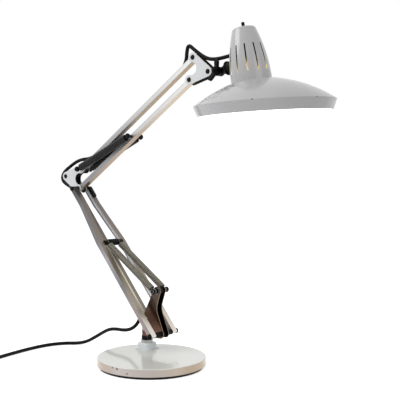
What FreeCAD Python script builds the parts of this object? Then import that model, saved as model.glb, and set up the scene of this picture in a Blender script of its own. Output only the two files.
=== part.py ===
"""Desk lamp with a spring-balanced folding arm, as a parametric FreeCAD document.

Millimetres. +Z is up, and the origin is on the desk, on the axis of the vertical pin about which
the arm swivels. The arm folds in the XZ plane: it leans back towards -X, and the shade hangs
towards +X. +Y is the far side and -Y the near side.

Two parallelograms of bars carry the shade. The lower one joins the bracket to the elbow plates,
and the upper one joins the elbow plates to the head plates. Every bar is a channel that is open
on its local +Z side, and the flex runs in the two middle ones.
"""

import FreeCAD, Part
import Sketcher
import math
import os

Vector = FreeCAD.Vector
Rotation = FreeCAD.Rotation
Placement = FreeCAD.Placement

DIMENSIONS = {
    # base
    "base_radius": 110.0,
    "base_centre_x": 52.0,
    "base_centre_y": -45.0,
    "base_height": 20.7,
    "base_edge_round": 2.0,
    "base_skin": 1.5,
    "pad_radius": 105.0,
    "pad_height": 5.5,
    "hub_side": 33.0,
    "hub_turn": 4.0,
    "hub_corner": 8.0,
    "hub_shoulder": 3.5,
    "hub_height": 13.3,
    "hub_foot_side": 40.0,
    "hub_foot_height": 2.5,
    "bush_radius": 12.5,
    "bush_sleeve_radius": 9.0,
    "bush_height": 5.8,
    "pin_radius": 6.0,
    "running_gap": 0.05,
    "loose_gap": 0.25,
    "collar_radius": 11.5,
    "collar_height": 7.8,
    "tongue_width": 22.0,
    "tongue_height": 22.0,
    # arm
    "axle_height": 56.9,
    "axle_offset": 43.8,
    "lower_angle": 129.2,
    "upper_angle": 34.8,
    "lower_reach": 387.0,
    "upper_reach": 386.0,
    "side_pin_x": 40.7,
    "side_pin_z": 28.0,
    "top_pin_x": 8.9,
    "top_pin_z": 43.9,
    "anchor_x": 9.1,
    "anchor_z": 89.5,
    "plate_gap": 15.0,
    "plate_thickness": 1.5,
    "lobe_radius": 9.5,
    "bar_width": 14.0,
    "bar_depth": 9.8,
    "bar_wall": 1.2,
    "bar_web": 1.4,
    "bar_end_room": 18.0,
    "link_width": 10.4,
    "link_depth": 9.0,
    "outer_bar_y": 34.0,
    "elbow_bar_y": 20.5,
    "joggle_start": 238.0,
    "joggle_end": 340.0,
    "axle_radius": 3.0,
    "cap_radius": 5.0,
    "cap_height": 2.0,
    "spacer_radius": 5.5,
    "stop_length": 29.0,
    "stop_width": 8.5,
    "stop_thickness": 5.0,
    # springs
    "lower_spring_y": 17.0,
    "upper_spring_y": 17.5,
    "lower_spring_radius": 7.0,
    "upper_spring_radius": 8.0,
    "spring_wire": 1.0,
    "spring_end_room": 8.0,
    "lower_hook_along": 233.0,
    "lower_hook_side": 4.5,
    "upper_hook_along": 197.5,
    # head
    "head_pin_x": 46.3,
    "head_pin_z": 12.85,
    "tilt_axis_x": 184.0,
    "tilt_axis_z": 589.0,
    "lug_thickness": 7.2,
    "lug_radius": 9.0,
    "neck_height": 14.0,
    "taper_length": 8.0,
    "flange_radius": 13.5,
    "flange_thickness": 3.0,
    "flange_x": 206.0,
    "flange_z": 593.6,
    "saddle_radius": 12.0,
    "wing_span": 40.0,
    "wing_thickness": 6.5,
    "nut_radius": 6.5,
    # shade
    "rim_centre_x": 288.0,
    "rim_centre_z": 521.1,
    "rim_radius": 133.6,
    "rim_lean_x": -0.0255,
    "rim_height": 20.2,
    "mouth_radius": 126.0,
    "sheet_thickness": 0.8,
    "shoulder_radius": 86.0,
    "shoulder_rise": 0.64,
    "cap_centre_x": 259.4,
    "cap_centre_z": 563.5,
    "cap_lean_x": -0.145,
    "shade_lean_y": -0.068,
    "cap_base_radius": 39.0,
    "cap_mid_radius": 35.1,
    "cap_mid_height": 50.0,
    "cap_top_radius": 22.3,
    "cap_height_full": 102.0,
    "cap_edge_round": 5.0,
    "slot_width": 2.6,
    "slot_low": 16.0,
    "slot_high": 67.0,
    "slot_count": 12.0,
    "slot_turn": -4.0,
    "holder_radius": 19.0,
    "holder_low": 42.0,
    "holder_high": 80.0,
    "bulb_radius": 30.0,
    "bulb_centre": -8.0,
    "bulb_neck_radius": 13.0,
    "switch_radius": 9.0,
    "rod_radius": 3.2,
    "rod_length": 22.0,
    # flex
    "cord_radius": 3.75,
    "coil_mid_radius": 42.5,
    "coil_width": 22.5,
    "coil_height": 14.0,
    "coil_turns": 4.5,
    "coil_x": -270.5,
    "coil_y": -330.0,
    "plug_width": 26.0,
    "plug_height": 14.0,
    "plug_length": 34.0,
    "plug_pin_radius": 2.0,
    "plug_pin_length": 19.0,
}

doc = FreeCAD.newDocument("folding_desk_lamp")
sheet = doc.addObject("Spreadsheet::Sheet", "dims")
for row, (alias, number) in enumerate(DIMENSIONS.items(), start=1):
    sheet.set(f"A{row}", alias)
    sheet.set(f"B{row}", str(number))
    sheet.setAlias(f"B{row}", alias)
doc.recompute()

made = []


def size(alias):
    """The sheet's value of one driving dimension."""
    return float(sheet.get(alias))


def bind(thing, prop, alias, factor=1.0):
    """Tie a size of a document object to a cell of the sheet."""
    thing.setExpression(prop, f"dims.{alias} * {factor}")


def keep(thing, label):
    """Name a finished sub-part; its label is also the name of its file."""
    thing.Label = label
    made.append(thing)
    return thing


# ---------------------------------------------------------------- places in the arm plane


def spot(x, z, y=0.0):
    return Vector(x, y, z)


def along(start, degrees, distance, side=0.0):
    """The point at a distance along a bar, and to the side that its channel opens to."""
    angle = math.radians(degrees)
    x = start.x + distance * math.cos(angle) - side * math.sin(angle)
    z = start.z + distance * math.sin(angle) + side * math.cos(angle)
    return spot(x, z)


SIDE_PIN = spot(-size("side_pin_x"), size("side_pin_z"))
TOP_PIN = spot(size("top_pin_x"), size("top_pin_z"))

BRACKET_ARM = spot(size("axle_offset"), size("axle_height"))
BRACKET_LINK = BRACKET_ARM + SIDE_PIN
BRACKET_ANCHOR = BRACKET_ARM + spot(-size("anchor_x"), size("anchor_z"))
ELBOW_ARM = along(BRACKET_ARM, size("lower_angle"), size("lower_reach"))
ELBOW_TOP = ELBOW_ARM + TOP_PIN
ELBOW_LINK = ELBOW_ARM + SIDE_PIN
HEAD_ARM = along(ELBOW_ARM, size("upper_angle"), size("upper_reach"))
HEAD_TOP = HEAD_ARM + TOP_PIN
HEAD_YOKE = HEAD_ARM + spot(size("head_pin_x"), size("head_pin_z"))
LOWER_HOOK = along(BRACKET_ARM, size("lower_angle"), size("lower_hook_along"), -size("lower_hook_side"))
UPPER_HOOK = along(ELBOW_ARM, size("upper_angle"), size("upper_hook_along"))
TILT = spot(size("tilt_axis_x"), size("tilt_axis_z"))

PLATE_INNER = size("plate_gap") / 2
PLATE_OUTER = PLATE_INNER + size("plate_thickness")
Y_AXIS = Vector(0, 1, 0)
Z_AXIS = Vector(0, 0, 1)

RIM_AXIS = Vector(size("rim_lean_x"), size("shade_lean_y"), 1.0).normalize()
CAP_AXIS = Vector(size("cap_lean_x"), size("shade_lean_y"), 1.0).normalize()
RIM_CENTRE = spot(size("rim_centre_x"), size("rim_centre_z"))
CAP_CENTRE = spot(size("cap_centre_x"), size("cap_centre_z"))
STUB_AXIS = Vector(1.0, 0, -size("cap_lean_x")).normalize()
FLANGE = spot(size("flange_x"), size("flange_z"))


# ---------------------------------------------------------------- sketches and features


def new_body(label):
    return keep(doc.addObject("PartDesign::Body", label), label)


def new_sketch(body, role, offset=0.0):
    """A sketch on one of the body's own origin planes, moved along that plane's normal."""
    plane = next(f for f in body.Origin.OriginFeatures if f.Role == role)
    sketch = body.newObject("Sketcher::SketchObject", body.Name + "_sketch")
    sketch.AttachmentSupport = [(plane, "")]
    sketch.MapMode = "FlatFace"
    sketch.AttachmentOffset = Placement(Vector(0, 0, offset), Rotation())
    return sketch


def draw_circle(sketch, x, y, alias, factor=1.0):
    radius = size(alias) * factor
    ring = sketch.addGeometry(Part.Circle(Vector(x, y, 0), Z_AXIS, radius))
    rule = sketch.addConstraint(Sketcher.Constraint("Radius", ring, radius))
    sketch.setExpression(f"Constraints[{rule}]", f"dims.{alias} * {factor}")


def draw_polygon(sketch, corners):
    points = [Vector(x, y, 0) for x, y in corners]
    for start, end in zip(points, points[1:] + points[:1]):
        sketch.addGeometry(Part.LineSegment(start, end))


def square_corners(half):
    return [(-half, -half), (half, -half), (half, half), (-half, half)]


def draw_belt(sketch, wheels):
    """The outline of a belt that runs round circles, each (x, y, radius).

    The belt runs anticlockwise. A circle with a negative radius lies outside it, so there the
    outline is hollow.
    """
    count = len(wheels)
    headings = []
    for i, (x, y, radius) in enumerate(wheels):
        next_x, next_y, next_radius = wheels[(i + 1) % count]
        apart = math.hypot(next_x - x, next_y - y)
        line = math.atan2(next_y - y, next_x - x)
        headings.append(line + math.asin((radius - next_radius) / apart))

    def touch(wheel, heading):
        x, y, radius = wheel
        return Vector(x + radius * math.sin(heading), y - radius * math.cos(heading), 0)

    for i, wheel in enumerate(wheels):
        arrive, leave = headings[i - 1], headings[i]
        turn = (leave - arrive) % (2 * math.pi)
        if wheel[2] < 0:
            turn -= 2 * math.pi
        middle = touch(wheel, arrive + turn / 2)
        sketch.addGeometry(Part.ArcOfCircle(touch(wheel, arrive), middle, touch(wheel, leave)))
        following = wheels[(i + 1) % count]
        sketch.addGeometry(Part.LineSegment(touch(wheel, leave), touch(following, leave)))


def pad(body, sketch, alias, symmetric=False, backwards=False, factor=1.0):
    feature = body.newObject("PartDesign::Pad", body.Name + "_pad")
    feature.Profile = sketch
    bind(feature, "Length", alias, factor)
    feature.Midplane = symmetric
    feature.Reversed = backwards
    doc.recompute()
    return feature


def pocket(body, sketch, alias, symmetric=False, backwards=False, factor=1.0):
    feature = body.newObject("PartDesign::Pocket", body.Name + "_pocket")
    feature.Profile = sketch
    bind(feature, "Length", alias, factor)
    feature.Midplane = symmetric
    feature.Reversed = backwards
    doc.recompute()
    return feature


def fillet(body, feature, wanted, alias):
    """Round the edges of a feature that the test picks."""
    names = [f"Edge{i}" for i, edge in enumerate(feature.Shape.Edges, start=1) if wanted(edge)]
    rounding = body.newObject("PartDesign::Fillet", body.Name + "_fillet")
    rounding.Base = (feature, names)
    bind(rounding, "Radius", alias)
    doc.recompute()
    return rounding


def lying_along(edge, axis):
    if not isinstance(edge.Curve, Part.Line):
        return False
    return abs(edge.tangentAt(edge.FirstParameter).dot(axis)) > 0.999


# ---------------------------------------------------------------- turned parts


def turned(label, at, axis, steps):
    """A turned part: cylinders and cones in a row on one axis.

    Each step is (start along the axis, length alias, factor, radius alias, end radius alias).
    """
    turn = Rotation(Z_AXIS, axis)
    pieces = []
    for start, length, factor, radius, end_radius in steps:
        place = Placement(at + axis * start, turn)
        if radius == end_radius:
            piece = doc.addObject("Part::Cylinder", label + "_step")
            bind(piece, "Radius", radius)
        else:
            piece = doc.addObject("Part::Cone", label + "_step")
            bind(piece, "Radius1", radius)
            bind(piece, "Radius2", end_radius)
        bind(piece, "Height", length, factor)
        piece.Placement = place
        pieces.append(piece)
    if len(pieces) == 1:
        return keep(pieces[0], label)
    whole = doc.addObject("Part::MultiFuse", label)
    whole.Shapes = pieces
    whole.Refine = True
    return keep(whole, label)


def capped_axle(label, at, half_length, radius="axle_radius"):
    """An axle along Y with a domed cap on each end; half_length includes the caps."""
    rod = doc.addObject("Part::Cylinder", label + "_rod")
    bind(rod, "Radius", radius)
    half_rod = half_length - size("cap_height")
    rod.Height = 2 * half_rod
    rod.Placement = Placement(at - Y_AXIS * half_rod, Rotation(Z_AXIS, Y_AXIS))
    caps = []
    for side in (-1, 1):
        cap = doc.addObject("Part::Cone", label + "_cap")
        bind(cap, "Radius1", "cap_radius")
        bind(cap, "Radius2", "cap_radius", 0.75)
        bind(cap, "Height", "cap_height")
        outward = Y_AXIS * side
        cap.Placement = Placement(at + outward * half_rod, Rotation(Z_AXIS, outward))
        caps.append(cap)
    whole = doc.addObject("Part::MultiFuse", label)
    whole.Shapes = [rod] + caps
    whole.Refine = True
    return keep(whole, label)


def sleeves(label, at, low, high, middle_half=0.0):
    """Tubes on an axle: one each side, from low to high in |Y|, and one across the middle."""
    outer = size("spacer_radius")
    inner = size("axle_radius")
    solids = []
    for side in (-1, 1):
        start = at + Y_AXIS * side * low
        tube = Part.makeCylinder(outer, high - low, start, Y_AXIS * side)
        bore = Part.makeCylinder(inner, high - low, start, Y_AXIS * side)
        solids.append(tube.cut(bore))
    if middle_half:
        start = at - Y_AXIS * middle_half
        tube = Part.makeCylinder(outer, 2 * middle_half, start, Y_AXIS)
        solids.append(tube.cut(Part.makeCylinder(inner, 2 * middle_half, start, Y_AXIS)))
    pair = doc.addObject("Part::Feature", label)
    pair.Shape = Part.makeCompound(solids)
    return keep(pair, label)


# ---------------------------------------------------------------- plates and bars


def plate(label, side, origin, wheels, holes):
    """One side plate of a joint. side is -1 for the near plate and +1 for the far one."""
    body = new_body(label)
    sketch = new_sketch(body, "XZ_Plane", -side * PLATE_INNER)
    draw_belt(sketch, [(origin.x + x, origin.z + z, radius) for x, z, radius in wheels])
    for hole in holes:
        draw_circle(sketch, hole.x, hole.z, "axle_radius")
    pad(body, sketch, "plate_thickness", backwards=side > 0)
    return body


def neck(first, second, lobe, side):
    """The hollow circle between two lobes of a plate, on one side of the line between them."""
    hollow = 1.35 * lobe
    apart = (second - first).Length / 2
    reach = math.sqrt((lobe + hollow + 0.1) ** 2 - apart**2)
    middle = (first + second) * 0.5
    across = (second - first).cross(Y_AXIS).normalize() * side
    centre = middle + across * reach
    return (centre.x, centre.z, -hollow)


def bar_place(start, degrees, y=0.0):
    """A bar's own X axis runs along it, and its channel opens towards its own +Z."""
    return Placement(start + Y_AXIS * y, Rotation(Y_AXIS, -degrees))


def straight_bar(label, start, degrees, reach, width, depth, bores):
    """A middle bar: a channel with round ends. bores are (place along, radius gap alias)."""
    body = new_body(label)
    outline = new_sketch(body, "XZ_Plane")
    half = size(depth) / 2
    draw_belt(outline, [(0, 0, half), (reach, 0, half)])
    for place, gap in bores:
        outline.addGeometry(Part.Circle(Vector(place, 0, 0), Z_AXIS, size("axle_radius") + size(gap)))
    pad(body, outline, width, symmetric=True)
    trough = new_sketch(body, "XZ_Plane")
    room = size("bar_end_room")
    floor = size("bar_web") - half
    draw_polygon(trough, [(room, floor), (reach - room, floor), (reach - room, half + 1), (room, half + 1)])
    inside = (size(width) - 2 * size("bar_wall")) / size(width)
    pocket(body, trough, width, symmetric=True, factor=inside)
    body.Placement = bar_place(start, degrees)
    return body


def outer_bar(label, side):
    """One of the two outer bars of the lower arm; each bends inwards to reach the elbow."""
    body = new_body(label)
    reach = size("lower_reach")
    round_end = size("bar_depth") / 2
    wide_y = side * size("outer_bar_y")
    near_y = side * size("elbow_bar_y")

    def path_outline(half, start, end):
        joggle = [(size("joggle_start"), wide_y), (size("joggle_end"), near_y)]
        bends = [(start, wide_y)] + joggle + [(end, near_y)]
        upper = [(x, y + half) for x, y in bends]
        lower = [(x, y - half) for x, y in reversed(bends)]
        return upper + lower

    outline = new_sketch(body, "XY_Plane")
    draw_polygon(outline, path_outline(size("bar_width") / 2, -round_end, reach + round_end))
    block = pad(body, outline, "bar_depth", symmetric=True)

    def end_edge(edge):
        x = edge.CenterOfMass.x
        at_end = x < -round_end + 0.1 or x > reach + round_end - 0.1
        return at_end and lying_along(edge, Y_AXIS)

    rounding = fillet(body, block, end_edge, "bar_depth")
    bind(rounding, "Radius", "bar_depth", 0.48)
    trough = new_sketch(body, "XY_Plane", size("bar_depth") / 2)
    room = size("bar_end_room")
    inside = size("bar_width") / 2 - size("bar_wall")
    draw_polygon(trough, path_outline(inside, room, reach - room))
    pocket(body, trough, "bar_depth", factor=1 - size("bar_web") / size("bar_depth"))
    bores = new_sketch(body, "XZ_Plane")
    bores.addGeometry(Part.Circle(Vector(0, 0, 0), Z_AXIS, size("axle_radius") + size("running_gap")))
    bores.addGeometry(Part.Circle(Vector(reach, 0, 0), Z_AXIS, size("axle_radius") + size("loose_gap")))
    pocket(body, bores, "base_radius", symmetric=True)
    body.Placement = bar_place(BRACKET_ARM, size("lower_angle"))
    return body


# ---------------------------------------------------------------- springs and flex


def spring(label, start, end, y, radius):
    """A close-wound spring as its outer sleeve, with a hook round the axle at each end."""
    wire = size("spring_wire")
    room = size("spring_end_room")
    first = start + Y_AXIS * y
    last = end + Y_AXIS * y
    way = (last - first).normalize()
    length = (last - first).Length
    coils = Part.makeCylinder(radius, length - 2 * room, first + way * room, way)
    hollow = length - 2 * room - 2 * wire
    bore = Part.makeCylinder(radius - 2 * wire, hollow, first + way * (room + wire), way)
    solid = coils.cut(bore)
    loop = size("axle_radius") + wire + size("loose_gap")
    for centre, inward in ((first, way), (last, -way)):
        eye = Part.makeTorus(loop, wire, centre, Y_AXIS)
        shank = Part.makeCylinder(wire, room - loop + wire, centre + inward * loop, inward)
        solid = solid.fuse([eye, shank])
    feature = doc.addObject("Part::Feature", label)
    feature.Shape = solid
    return keep(feature, label)


def rounded_wire(route):
    """Straight runs through the route's points, joined by tangent arcs."""
    edges = []
    start = route[0]
    for before, corner, after in zip(route, route[1:], route[2:]):
        back = before - corner
        ahead = after - corner
        half_turn = (math.pi - back.getAngle(ahead)) / 2
        reach = 0.45 * min(back.Length, ahead.Length)
        back.normalize()
        ahead.normalize()
        radius = reach / math.tan(half_turn)
        enter = corner + back * reach
        leave = corner + ahead * reach
        bisector = (back + ahead).normalize()
        middle = corner + bisector * (radius / math.cos(half_turn) - radius)
        edges.append(Part.LineSegment(start, enter).toShape())
        edges.append(Part.Arc(enter, middle, leave).toShape())
        start = leave
    edges.append(Part.LineSegment(start, route[-1]).toShape())
    return Part.Wire(edges)


def flex(label, route):
    """A stretch of flex as a round tube along its route."""
    wire = rounded_wire(route)
    heading = (route[1] - route[0]).normalize()
    section = Part.Wire(Part.makeCircle(size("cord_radius"), route[0], heading))
    feature = doc.addObject("Part::Feature", label)
    feature.Shape = wire.makePipeShell([section], True, False)
    return keep(feature, label)


# ---------------------------------------------------------------- base


def build_base():
    height = size("base_height")
    floor = size("pad_height")
    skin = size("base_skin")
    steel = height - floor

    shell = new_body("base_shell")
    outline = new_sketch(shell, "XY_Plane", floor)
    draw_circle(outline, size("base_centre_x"), size("base_centre_y"), "base_radius")
    disc = pad(shell, outline, "base_height", factor=steel / height)

    def top_edge(edge):
        return edge.CenterOfMass.z > height - 0.1 and isinstance(edge.Curve, Part.Circle)

    fillet(shell, disc, top_edge, "base_edge_round")
    hollow = new_sketch(shell, "XY_Plane", floor)
    inside = 1.0 - skin / size("base_radius")
    draw_circle(hollow, size("base_centre_x"), size("base_centre_y"), "base_radius", inside)
    pocket(shell, hollow, "base_height", backwards=True, factor=(steel - skin) / height)
    bore = new_sketch(shell, "XY_Plane", floor)
    draw_circle(bore, 0, 0, "bush_sleeve_radius")
    pocket(shell, bore, "base_height", backwards=True)

    weight = new_body("base_weight")
    slab = new_sketch(weight, "XY_Plane", floor)
    draw_circle(slab, size("base_centre_x"), size("base_centre_y"), "base_radius", inside - 0.02)
    draw_circle(slab, 0, 0, "bush_radius")
    pad(weight, slab, "base_height", factor=(steel - skin) / height)

    foot_pad = new_body("base_pad")
    disc = new_sketch(foot_pad, "XY_Plane")
    draw_circle(disc, size("base_centre_x"), size("base_centre_y"), "pad_radius")
    pad(foot_pad, disc, "pad_height")

    hub = new_body("hub_block")
    square = new_sketch(hub, "XY_Plane", height)
    draw_polygon(square, square_corners(size("hub_foot_side") / 2))
    foot = pad(hub, square, "hub_foot_height")
    tower = new_sketch(hub, "XY_Plane", height)
    draw_polygon(tower, square_corners(size("hub_side") / 2))
    block = pad(hub, tower, "hub_height")
    upright = fillet(hub, block, lambda edge: lying_along(edge, Z_AXIS), "hub_corner")
    hub_top = height + size("hub_height")
    fillet(hub, upright, lambda edge: edge.CenterOfMass.z > hub_top - 0.1, "hub_shoulder")
    hole = new_sketch(hub, "XY_Plane", height)
    draw_circle(hole, 0, 0, "bush_sleeve_radius")
    pocket(hub, hole, "hub_height", backwards=True, factor=2.0)
    hub.Placement = Placement(Vector(), Rotation(Z_AXIS, size("hub_turn")))

    bush = new_body("pivot_bush")
    top = height + size("hub_height")
    rim = new_sketch(bush, "XY_Plane", top)
    draw_circle(rim, 0, 0, "bush_radius")
    pad(bush, rim, "bush_height")
    sleeve = new_sketch(bush, "XY_Plane", top)
    draw_circle(sleeve, 0, 0, "bush_sleeve_radius")
    pad(bush, sleeve, "hub_height", backwards=True, factor=(size("hub_height") + skin) / size("hub_height"))
    bore = new_sketch(bush, "XY_Plane", floor)
    bore.addGeometry(Part.Circle(Vector(), Z_AXIS, size("pin_radius") + size("running_gap")))
    pocket(bush, bore, "base_radius", backwards=True)


# ---------------------------------------------------------------- bracket


def build_bracket():
    lobe = size("lobe_radius")
    wheels = [
        (0, 0, 9.0),
        (20.0, 53.0, -30.0),
        (-size("anchor_x"), size("anchor_z"), 9.0),
        (-size("side_pin_x"), size("side_pin_z"), lobe - 1),
        (-45.0, -4.0, 5.0),
    ]
    rivet = spot(0.0, 64.0)
    holes = [BRACKET_ARM, BRACKET_LINK, BRACKET_ANCHOR, rivet]
    for name, side in (("near", -1), ("far", 1)):
        plate(f"bracket_plate_{name}", side, BRACKET_ARM, wheels, holes)

    top = size("base_height") + size("hub_height") + size("bush_height")
    collar_low = top + size("loose_gap")
    spindle = new_body("swivel_spindle")
    collar = new_sketch(spindle, "XY_Plane", collar_low)
    draw_circle(collar, 0, 0, "collar_radius")
    pad(spindle, collar, "collar_height")
    pin = new_sketch(spindle, "XY_Plane", collar_low)
    draw_circle(pin, 0, 0, "pin_radius")
    pad(spindle, pin, "base_height", backwards=True, factor=1.5)
    tongue = new_sketch(spindle, "XZ_Plane")
    low = collar_low + size("collar_height") - 0.5
    half = 7.0
    width = size("tongue_width") - half
    top_edge = low + size("tongue_height")
    draw_polygon(tongue, [(-half, low), (width, low), (width, top_edge), (-half + 2, top_edge)])
    pad(spindle, tongue, "plate_gap", symmetric=True)
    hole = new_sketch(spindle, "XZ_Plane")
    draw_circle(hole, rivet.x, rivet.z, "axle_radius")
    pocket(spindle, hole, "base_radius", symmetric=True)

    outer_face = size("outer_bar_y") + size("bar_width") / 2
    capped_axle("bracket_arm_axle", BRACKET_ARM, outer_face + size("loose_gap") + size("cap_height"))
    inner_face = size("outer_bar_y") - size("bar_width") / 2
    sleeves("bracket_spacers", BRACKET_ARM, PLATE_OUTER, inner_face - size("loose_gap"))
    capped_axle("bracket_spring_axle", BRACKET_ANCHOR, 25.0)
    half_pin = PLATE_OUTER + size("cap_height")
    pins = [capped_axle("bracket_pin", at, half_pin) for at in (BRACKET_LINK, rivet)]
    both = doc.addObject("Part::Compound", "bracket_pins")
    both.Links = pins
    for pin in pins:
        made.remove(pin)
    keep(both, "bracket_pins")


# ---------------------------------------------------------------- arm


def build_lower_arm():
    for name, side in (("near", -1), ("far", 1)):
        outer_bar(f"lower_bar_{name}", side)
    inner_face = size("outer_bar_y") - size("bar_width") / 2
    rod = doc.addObject("Part::Cylinder", "lower_cross_axle")
    bind(rod, "Radius", "axle_radius")
    rod.Height = 2 * inner_face
    rod.Placement = Placement(LOWER_HOOK - Y_AXIS * inner_face, Rotation(Z_AXIS, Y_AXIS))
    keep(rod, "lower_cross_axle")
    room = size("spring_wire") * 2
    spring_y = size("lower_spring_y")
    sleeves("lower_cross_spacers", LOWER_HOOK, spring_y + room, inner_face, spring_y - room)
    gaps = [(0, "running_gap"), (size("lower_reach"), "loose_gap")]
    args = (size("lower_angle"), size("lower_reach"), "link_width", "link_depth", gaps)
    straight_bar("lower_link_bar", BRACKET_LINK, *args)


def build_stop():
    """The plastic stop on top of the far outer bar, just below the elbow; it has round ends."""
    width = size("stop_width")
    thick = size("stop_thickness")
    low = size("lower_reach") - size("stop_length")
    bottom = -size("bar_depth") / 2 - thick
    corner = Vector(low, size("elbow_bar_y") - width / 2, bottom)
    block = Part.makeBox(size("stop_length"), width, thick, corner)
    ends = [e for e in block.Edges if lying_along(e, Y_AXIS) and e.CenterOfMass.z < bottom + 0.1]
    stop = doc.addObject("Part::Feature", "lower_bar_stop")
    stop.Shape = block.makeFillet(thick * 0.6, ends)
    stop.Placement = bar_place(BRACKET_ARM, size("lower_angle"))
    keep(stop, "lower_bar_stop")


def build_elbow():
    lobe = size("lobe_radius")
    hollow = neck(spot(0, 0), TOP_PIN, lobe, 1)
    wheels = [(0, 0, lobe), hollow, (TOP_PIN.x, TOP_PIN.z, lobe), (SIDE_PIN.x, SIDE_PIN.z, lobe)]
    holes = [ELBOW_ARM, ELBOW_TOP, ELBOW_LINK]
    for name, side in (("near", -1), ("far", 1)):
        plate(f"elbow_plate_{name}", side, ELBOW_ARM, wheels, holes)
    outer_face = size("elbow_bar_y") + size("bar_width") / 2
    capped_axle("elbow_arm_axle", ELBOW_ARM, outer_face + size("cap_height"))
    inner_face = size("elbow_bar_y") - size("bar_width") / 2
    sleeves("elbow_spacers", ELBOW_ARM, PLATE_OUTER, inner_face - size("loose_gap"))
    capped_axle("elbow_spring_axle", ELBOW_TOP, 21.5)
    capped_axle("elbow_link_pin", ELBOW_LINK, PLATE_OUTER + size("cap_height"))


def build_upper_arm():
    reach = size("upper_reach")
    hook = size("upper_hook_along")
    degrees = size("upper_angle")
    bores = [(0, "running_gap"), (hook, "running_gap"), (reach, "loose_gap")]
    straight_bar("upper_arm_bar", ELBOW_ARM, degrees, reach, "bar_width", "bar_depth", bores)
    capped_axle("upper_spring_axle", UPPER_HOOK, 21.5)
    bores = [(0, "running_gap"), (reach, "running_gap")]
    straight_bar("upper_link_bar", ELBOW_TOP, degrees, reach, "bar_width", "bar_depth", bores)


def build_springs():
    for name, side in (("near", -1), ("far", 1)):
        lower_y = side * size("lower_spring_y")
        upper_y = side * size("upper_spring_y")
        spring(f"lower_spring_{name}", BRACKET_ANCHOR, LOWER_HOOK, lower_y, size("lower_spring_radius"))
        spring(f"upper_spring_{name}", ELBOW_TOP, UPPER_HOOK, upper_y, size("upper_spring_radius"))


# ---------------------------------------------------------------- head


def build_head():
    lobe = size("lobe_radius")
    hollow = neck(TOP_PIN, spot(0, 0), lobe, 1)
    yoke_pin = HEAD_YOKE - HEAD_ARM
    wheels = [(0, 0, lobe), (yoke_pin.x, yoke_pin.z, lobe), (TOP_PIN.x, TOP_PIN.z, lobe), hollow]
    holes = [HEAD_ARM, HEAD_TOP, HEAD_YOKE]
    for name, side in (("near", -1), ("far", 1)):
        plate(f"head_plate_{name}", side, HEAD_ARM, wheels, holes)
    for name, at in (("arm", HEAD_ARM), ("link", HEAD_TOP), ("yoke", HEAD_YOKE)):
        capped_axle(f"head_{name}_pin", at, PLATE_OUTER + size("cap_height"))

    yoke = new_body("head_yoke")
    outline = new_sketch(yoke, "XZ_Plane", PLATE_INNER - size("lug_thickness"))
    lug = size("lug_radius")
    draw_belt(outline, [(HEAD_YOKE.x, HEAD_YOKE.z, 8.0), (TILT.x, TILT.z, lug)])
    draw_circle(outline, HEAD_YOKE.x, HEAD_YOKE.z, "axle_radius")
    draw_circle(outline, TILT.x, TILT.z, "axle_radius")
    pad(yoke, outline, "lug_thickness")
    filler = new_sketch(yoke, "XZ_Plane", -PLATE_INNER)
    draw_circle(filler, HEAD_YOKE.x, HEAD_YOKE.z, "lug_radius", 0.85)
    draw_circle(filler, HEAD_YOKE.x, HEAD_YOKE.z, "axle_radius")
    pad(yoke, filler, "plate_gap")

    bolt = doc.addObject("Part::Cylinder", "tilt_bolt_shank")
    bind(bolt, "Radius", "axle_radius")
    bolt.Height = 30.0
    bolt.Placement = Placement(TILT + Y_AXIS * 7.5, Rotation(Z_AXIS, -Y_AXIS))
    bolt_head = doc.addObject("Part::Cone", "tilt_bolt_head")
    bind(bolt_head, "Radius1", "nut_radius")
    bind(bolt_head, "Radius2", "nut_radius", 0.7)
    bolt_head.Height = 4.0
    bolt_head.Placement = Placement(TILT + Y_AXIS * 7.6, Rotation(Z_AXIS, Y_AXIS))
    bolt_whole = doc.addObject("Part::MultiFuse", "tilt_bolt")
    bolt_whole.Shapes = [bolt, bolt_head]
    keep(bolt_whole, "tilt_bolt")

    build_wing_nut()
    build_stub()


def build_wing_nut():
    """A wing nut on the near end of the tilt bolt."""
    near = PLATE_INNER + size("loose_gap")
    nut = new_body("wing_nut")
    boss = new_sketch(nut, "XZ_Plane", near)
    draw_circle(boss, 0, 0, "nut_radius")
    pad(nut, boss, "wing_span", factor=0.25)
    half = size("wing_span") / 2
    wings = new_sketch(nut, "YZ_Plane")
    low = -near - 1.0
    tip = low - 13.0
    lower_wing = [(low, -5), (tip + 6, -half), (tip, -half + 1)]
    upper_wing = [(tip, half - 1), (tip + 6, half), (low, 5)]
    draw_polygon(wings, lower_wing + [(tip + 5, 0)] + upper_wing)
    pad(nut, wings, "wing_thickness", symmetric=True)
    bore = new_sketch(nut, "XZ_Plane")
    bore.addGeometry(Part.Circle(Vector(), Z_AXIS, size("axle_radius") + size("running_gap")))
    pocket(nut, bore, "base_radius", symmetric=True)
    nut.Placement = Placement(TILT, Rotation(Y_AXIS, 25.0))


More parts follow.
